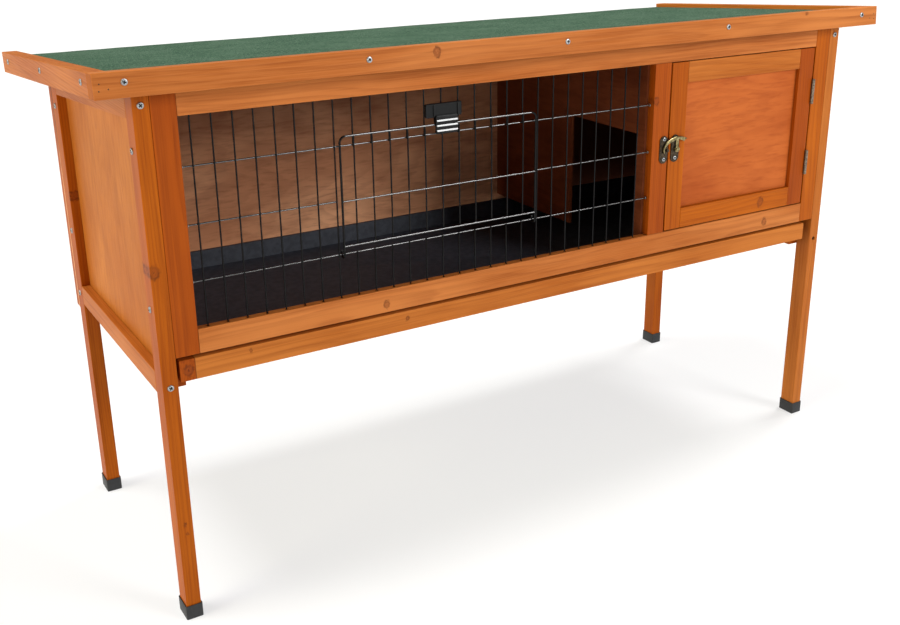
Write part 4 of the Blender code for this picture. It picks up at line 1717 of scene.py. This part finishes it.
    def station(self, share: float) -> tuple[Vector, Vector, float]:
        """One station of the horn, which swells in the middle and flares at its tip.

        Args:
            share: How far along the horn, 0 to 1.

        Returns:
            Its outer point in X and Z, the way outwards, and its width.
        """
        start, finish = (math.radians(degrees) for degrees in self.horn_sweep)
        angle = start + (finish - start) * share
        way = Vector((math.cos(angle), math.sin(angle)))
        lift = 0.0015 * max(0.0, share - 0.8) * 5
        width = 0.0026 + 0.0036 * math.sin(math.pi * share) ** 2 + 0.0160 * max(0.0, share - 0.75)
        centre = Vector((AT.across(self.pivot) - 0.0010, self.height + 0.0010))
        outer = centre + Vector((self.horn_reach[0] * way.x, self.horn_reach[1] * way.y + lift))
        return outer, way, width


# ---- roof, tray and feet ---------------------------------------------------------------
@dataclass
class FeltRoof:
    """The felt: a slightly uneven sheet on the roof board."""

    spacing: float = 0.010
    unevenness: float = 0.0005

    def build(self) -> None:
        """Lay the felt in its CAD box along the roof's slope."""
        low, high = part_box("roof_felt")
        lean = roof_slope()
        size = (high.x - low.x, high.y - low.y)
        cells = [max(2, round(length / self.spacing)) for length in size]
        settle()
        bpy.ops.mesh.primitive_grid_add(x_subdivisions=cells[0], y_subdivisions=cells[1], size=1.0)
        felt = name_active("felt_covering")
        for vertex in felt.data.vertices:
            x, y = low.x + size[0] * (vertex.co.x + 0.5), low.y + size[1] * (vertex.co.y + 0.5)
            vertex.co.x, vertex.co.y = x, y
            rough = noise.noise(Vector((x * 9, y * 9, 0.3))) + 0.5 * noise.noise(Vector((x * 34, y * 34, 4)))
            vertex.co.z = high.z - (y - low.y) * math.tan(lean) + self.unevenness * (rough - 0.9)
        take(felt)
        shell = felt.modifiers.new("thickness", "SOLIDIFY")
        shell.thickness, shell.offset = FELT_THICKNESS - self.unevenness, -1.0
        bpy.ops.object.modifier_apply(modifier=shell.name)
        felt.data.materials.append(MineralFelt().material("mineral_felt"))
        mount(felt, "frame", None, ["roof_felt"], 60)


@dataclass
class Tray:
    """The slide-out tray: a thin moulded pan with round corners under a flat flange."""

    wall: float = 0.0015
    corner: float = 0.010
    flange: float = 0.0045
    flange_height: float = 0.0018

    def build(self) -> None:
        """Model the pan in its CAD box: the flange first, then its outside and its hollow."""
        low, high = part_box("tray")
        depth = high.z - self.flange_height - low.z
        pan = block("litter_tray", (low.x, low.y, high.z - self.flange_height), high)
        bevel(pan, edges_along((0, 0, 1)), self.corner, 6)
        with editing(pan):
            choose(pan, Part.FACES, faces_to((0, 0, -1)))
            bpy.ops.mesh.inset(thickness=self.flange)
            bpy.ops.mesh.extrude_region_move(TRANSFORM_OT_translate={"value": (0, 0, -depth)})
            choose(pan, Part.FACES, faces_to((0, 0, 1)))
            bpy.ops.mesh.inset(thickness=self.flange + self.wall)
            step = -(high.z - low.z - self.wall)
            bpy.ops.mesh.extrude_region_move(TRANSFORM_OT_translate={"value": (0, 0, step)})
        bevel(pan, rim_of((0, 0, 1)), 0.0006, 2)
        under = rim_of((0, 0, -1))
        bevel(pan, lambda e: under(e) and e.verts[0].co.z < low.z + 1e-5, 0.0012, 3)
        mount(pan, "drawer", Finish.TRAY, ["tray"])


@dataclass
class FootCaps:
    """Moulded caps under the legs."""

    wall: float = 0.0012
    sole: float = 0.0021

    def build(self) -> None:
        """Model the four caps in their CAD boxes."""
        for end in ("front", "rear"):
            for side in ("left", "right"):
                self.cap(f"foot_cap_{end}_{side}", f"leg_foot_{end}_{side}")

    def cap(self, node: str, name: str) -> None:
        """One cap: a rounded pot with an open pocket for the leg.

        Args:
            node: The CAD node that it stands for.
            name: The new piece's name.
        """
        low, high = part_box(node)
        pot = block(name, low, high)
        bevel(pot, edges_along((0, 0, 1)), 0.0018, 4)
        with editing(pot):
            choose(pot, Part.FACES, faces_to((0, 0, 1)))
            bpy.ops.mesh.inset(thickness=self.wall)
            step = -(high.z - low.z - self.sole)
            bpy.ops.mesh.extrude_region_move(TRANSFORM_OT_translate={"value": (0, 0, step)})
        bevel(pot, rim_of((0, 0, 1)), 0.0004, 2)
        bevel(pot, rim_of((0, 0, -1)), 0.0011, 3)
        mount(pot, "frame", Finish.CAP, [node])


# ---- timber ----------------------------------------------------------------------------
X, Y, Z = Grain.ALONG_X, Grain.ALONG_Y, Grain.ALONG_Z
SIDE_FACE = (0.0, 1.0, 0.8)


@dataclass
class Timber:
    """Battens and sheets, each with its own board of fir or veneer."""

    def boards(self) -> dict[str, StainedFir]:
        """The finish of every batten.

        Returns:
            Each node's finish.
        """
        face = AT.front
        return {
            "leg_front_left": StainedFir(Z, Tone.AMBER, 1.1, (0.05, 0.07), knots=(
                Knot((AT.across(4.5), face, 0.471), 0.0062),
                Knot((AT.across(9.0), face, 0.137), 0.0022), Knot((AT.across(11.0), face, 0.124), 0.0018))),
            "leg_front_right": StainedFir(Z, Tone.HONEY, 2.3, (-0.07, 0.05)),
            "leg_rear_left": StainedFir(Z, Tone.AMBER, 3.2, (0.04, -0.08), knots=(
                Knot((AT.left, AT.deep(379), 0.474), 0.0050, SIDE_FACE),)),
            "leg_rear_right": StainedFir(Z, Tone.AMBER, 4.6, (-0.05, 0.06)),
            "front_stile_left": StainedFir(Z, Tone.RUSSET, 5.4, (0.02, 0.10), 0.0026),
            "front_stile_right": StainedFir(Z, Tone.AMBER, 6.7, (-0.03, 0.09), 0.0025),
            "front_mullion": StainedFir(Z, Tone.RUSSET, 7.9, (0.07, 0.06), knots=(
                Knot((AT.across(744), face, 0.593), 0.0048),)),
            "front_bottom_rail": StainedFir(X, Tone.WHEAT, 8.2, (0.01, 0.07), 0.0020, knots=(
                Knot((AT.across(300), face, 0.372), 0.0042), Knot((AT.across(985), face, 0.374), 0.0050))),
            "front_top_rail": StainedFir(X, Tone.WHEAT, 9.5, (0.03, 0.06), 0.0019),
            "door_stile_latch": StainedFir(Z, Tone.AMBER, 10.3, (0.03, 0.11), 0.0025),
            "door_stile_hinge": StainedFir(Z, Tone.RUSSET, 11.8, (-0.04, 0.08), 0.0022),
            "door_bottom_rail": StainedFir(X, Tone.AMBER, 12.4, (0.02, 0.06), 0.0027, knots=(
                Knot((AT.across(972), face, 0.409), 0.0060),)),
            "door_top_rail": StainedFir(X, Tone.HONEY, 13.6, (-0.02, 0.08), 0.0024),
            "drawer_front": StainedFir(X, Tone.HONEY, 14.9, (0.02, 0.07), 0.0024, knots=(
                Knot((AT.across(33), face, 0.3425), 0.0058), Knot((AT.across(112), face, 0.350), 0.0022),
                Knot((AT.across(330), face, 0.346), 0.0028)), end_block=AT.across(41.5)),
            "front_fascia": StainedFir(X, Tone.WHEAT, 15.2, (0.02, 0.06), 0.0028, knots=(
                Knot((AT.across(364), AT.roof_front, 0.697), 0.0050),
                Knot((AT.across(1005), AT.roof_front, 0.706), 0.0034))),
            "left_fascia": StainedFir(Y, Tone.HONEY, 16.7, (0.05, 0.05), 0.0025),
            "right_fascia": StainedFir(Y, Tone.HONEY, 17.3, (-0.05, 0.05), 0.0025),
            "side_bottom_rail_left": StainedFir(Y, Tone.HONEY, 18.8, (0.04, 0.06), 0.0021),
            "side_bottom_rail_right": StainedFir(Y, Tone.HONEY, 19.4, (0.04, 0.06), 0.0021),
            "side_top_rail_left": StainedFir(Y, Tone.HONEY, 20.6, (0.05, 0.07), 0.0023),
            "side_top_rail_right": StainedFir(Y, Tone.HONEY, 21.1, (0.05, 0.07), 0.0023),
            "tray_runner_left": StainedFir(Y, Tone.AMBER, 22.5),
            "tray_runner_right": StainedFir(Y, Tone.AMBER, 23.9),
            "tray_bearer": StainedFir(X, Tone.AMBER, 24.2),
            "rear_stile_left": StainedFir(Z, Tone.AMBER, 25.7, (0.03, 0.08)),
            "rear_stile_middle": StainedFir(Z, Tone.OCHRE, 26.4, (-0.03, 0.07)),
            "rear_stile_right": StainedFir(Z, Tone.AMBER, 27.6, (0.05, 0.06)),
            "rear_bottom_rail": StainedFir(X, Tone.HONEY, 28.8, (0.02, 0.07), knots=(
                Knot((0.21, AT.back, 0.313), 0.0050),)),
            "rear_top_rail": StainedFir(X, Tone.HONEY, 29.3, (0.02, 0.07)),
            "partition_batten_front": StainedFir(Z, Tone.AMBER, 30.9),
            "partition_batten_rear": StainedFir(Z, Tone.AMBER, 31.5),
        }

    def sheets(self) -> dict[str, StainedPly]:
        """The finish of every sheet.

        Returns:
            Each node's finish.
        """
        return {
            "side_panel_left": StainedPly(Z, Sheet.INSIDE, 1.4, Sheet.SIDE, (-1.0, 0.0, 0.0)),
            # The right side's inner face in the nest, the partition and the whole roof board are given the
            # painted shade of SHADED.
            "side_panel_right": StainedPly(Z, Sheet.SHADED, 2.6, Sheet.SIDE, (1.0, 0.0, 0.0)),
            # The back panel's inner face gets painted shade: darker towards the top under the roof, and from
            # x 0.17 on, inside the nest.
            "back_panel": StainedPly(X, Sheet.INSIDE, 3.1, Sheet.SIDE,
                                     deepens=((2, 0.46, 0.67), (0, 0.17, 0.21))),
            "partition": StainedPly(Y, Sheet.SHADED, 4.8),
            "door_panel": StainedPly(X, Sheet.PANEL, 5.5, Sheet.INSIDE),
            "roof_board": StainedPly(X, Sheet.SHADED, 6.2),
        }

    def build(self) -> None:
        """Dress every batten and sheet."""
        for node, finish in {**self.boards(), **self.sheets()}.items():
            low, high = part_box(node)
            dress(node, finish.material(f"{node}_wood", (low + high) / 2))


# ---- fittings that keep their CAD meshes -----------------------------------------------
def dress_hinges() -> None:
    """Give the hinges' leaves and pins a dull plated finish."""
    for row in ("lower", "upper"):
        for part in ("frame_leaf", "door_leaf", "pin"):
            dress(f"hinge_{row}_{part}", Finish.HINGE.material())


# ---- studio ----------------------------------------------------------------------------
@dataclass
class Studio:
    """Pale floor, soft light and the camera."""

    camera_place: Point = (-0.8782, -1.4411, 0.8942)
    yaw: float = 32.54
    pitch: float = 20.07
    lens: float = 44.7
    shift: tuple[float, float] = (-0.0438, -0.0283)
    floor_size: float = 60.0
    floor_grey: float = 0.36
    floor_glow: float = 0.62
    backdrop: float = 0.80
    ambient: float = 0.22

    def build(self) -> None:
        """Set up the floor, the lights, the world and the camera."""
        self.floor()
        self.softbox("front_light", (1.60, -3.15, 1.85), (0.0, AT.front, 0.5), 1.2, 82.0)
        self.sun("left_light", (-0.94, -0.05, 0.34), 1.95, 36.0, (1.0, 0.94, 0.64))
        self.sun("overhead_right", (0.53, 0.08, 1.0), 1.7, 20.0)
        self.sun("overhead_left", (-0.33, 0.12, 1.0), 1.7, 20.0)
        self.world()
        self.camera()
        bpy.context.scene.view_settings.view_transform = "Standard"

    def floor(self) -> None:
        """A wide pale floor, a little self-lit so that it fades into the backdrop."""
        settle()
        bpy.ops.mesh.primitive_plane_add(size=self.floor_size)
        floor = name_active("floor")
        material, _, shader = fresh_material("pale_floor")
        shader.inputs["Base Color"].default_value = (*[self.floor_grey] * 3, 1.0)
        shader.inputs["Roughness"].default_value = 0.9
        shader.inputs["Specular IOR Level"].default_value = 0.1
        shader.inputs["Emission Color"].default_value = (1.0, 1.0, 1.0, 1.0)
        shader.inputs["Emission Strength"].default_value = self.floor_glow
        floor.data.materials.append(material)

    def aim(self, data: bpy.types.Light, towards: Iterable[float]) -> bpy.types.Object:
        """Add a light and turn it.

        Args:
            data: The light.
            towards: From the hutch to the light.

        Returns:
            The light's object.
        """
        lamp = bpy.data.objects.new(data.name, data)
        lamp.rotation_euler = Vector(towards).to_track_quat("Z", "Y").to_euler()
        bpy.context.scene.collection.objects.link(lamp)
        return lamp

    def sun(self, name: str, towards: Point, strength: float, width: float,
            colour: Colour = (1.0, 1.0, 1.0)) -> None:
        """A broad even light from a direction.

        Args:
            name: The light's name.
            towards: From the hutch to the light.
            strength: Its strength.
            width: Its apparent width in degrees.
            colour: Its colour.
        """
        data = bpy.data.lights.new(name, "SUN")
        data.energy, data.angle, data.color = strength, math.radians(width), colour
        self.aim(data, towards)

    def softbox(self, name: str, place: Point, target: Point, size: float, power: float) -> None:
        """A square softbox.

        Args:
            name: The light's name.
            place: Where it hangs.
            target: What it is turned to.
            size: Its side.
            power: Its power in watts.
        """
        data = bpy.data.lights.new(name, "AREA")
        data.size, data.energy = size, power
        self.aim(data, Vector(place) - Vector(target)).location = place

    def world(self) -> None:
        """White backdrop for the camera and a softer white light on the object."""
        world = bpy.data.worlds.new("studio")
        bpy.context.scene.world = world
        world.use_nodes = True
        wiring = Wiring(world.node_tree)
        background = world.node_tree.nodes["Background"]
        background.inputs["Color"].default_value = (1.0, 1.0, 1.0, 1.0)
        seen = wiring.node("ShaderNodeLightPath").outputs["Is Camera Ray"]
        strength = wiring.maths("ADD", wiring.maths("MULTIPLY", seen, self.backdrop), self.ambient)
        wiring.feed(background.inputs["Strength"], strength)

    def camera(self) -> None:
        """The camera, from the front left and a little above."""
        data = bpy.data.cameras.new("camera")
        data.lens, data.sensor_width = self.lens, 36.0
        data.shift_x, data.shift_y = self.shift
        data.clip_start, data.clip_end = 0.01, 200.0
        camera = bpy.data.objects.new("camera", data)
        camera.location = self.camera_place
        camera.rotation_euler = (math.radians(90 - self.pitch), 0.0, math.radians(-self.yaw))
        bpy.context.scene.collection.objects.link(camera)
        bpy.context.scene.camera = camera


def main() -> None:
    """Build the hutch's looks in order."""
    logging.basicConfig(level=logging.INFO, format="%(name)s: %(message)s")
    Studio().build()
    Timber().build()
    dress_hinges()
    wires = WireFront()
    wires.build()
    WireDoor(wires).build()
    Catch().build()
    HornLatch().build()
    FeltRoof().build()
    Tray().build()
    FootCaps().build()
    Fasteners().build()


if __name__ == "__main__":
    main()
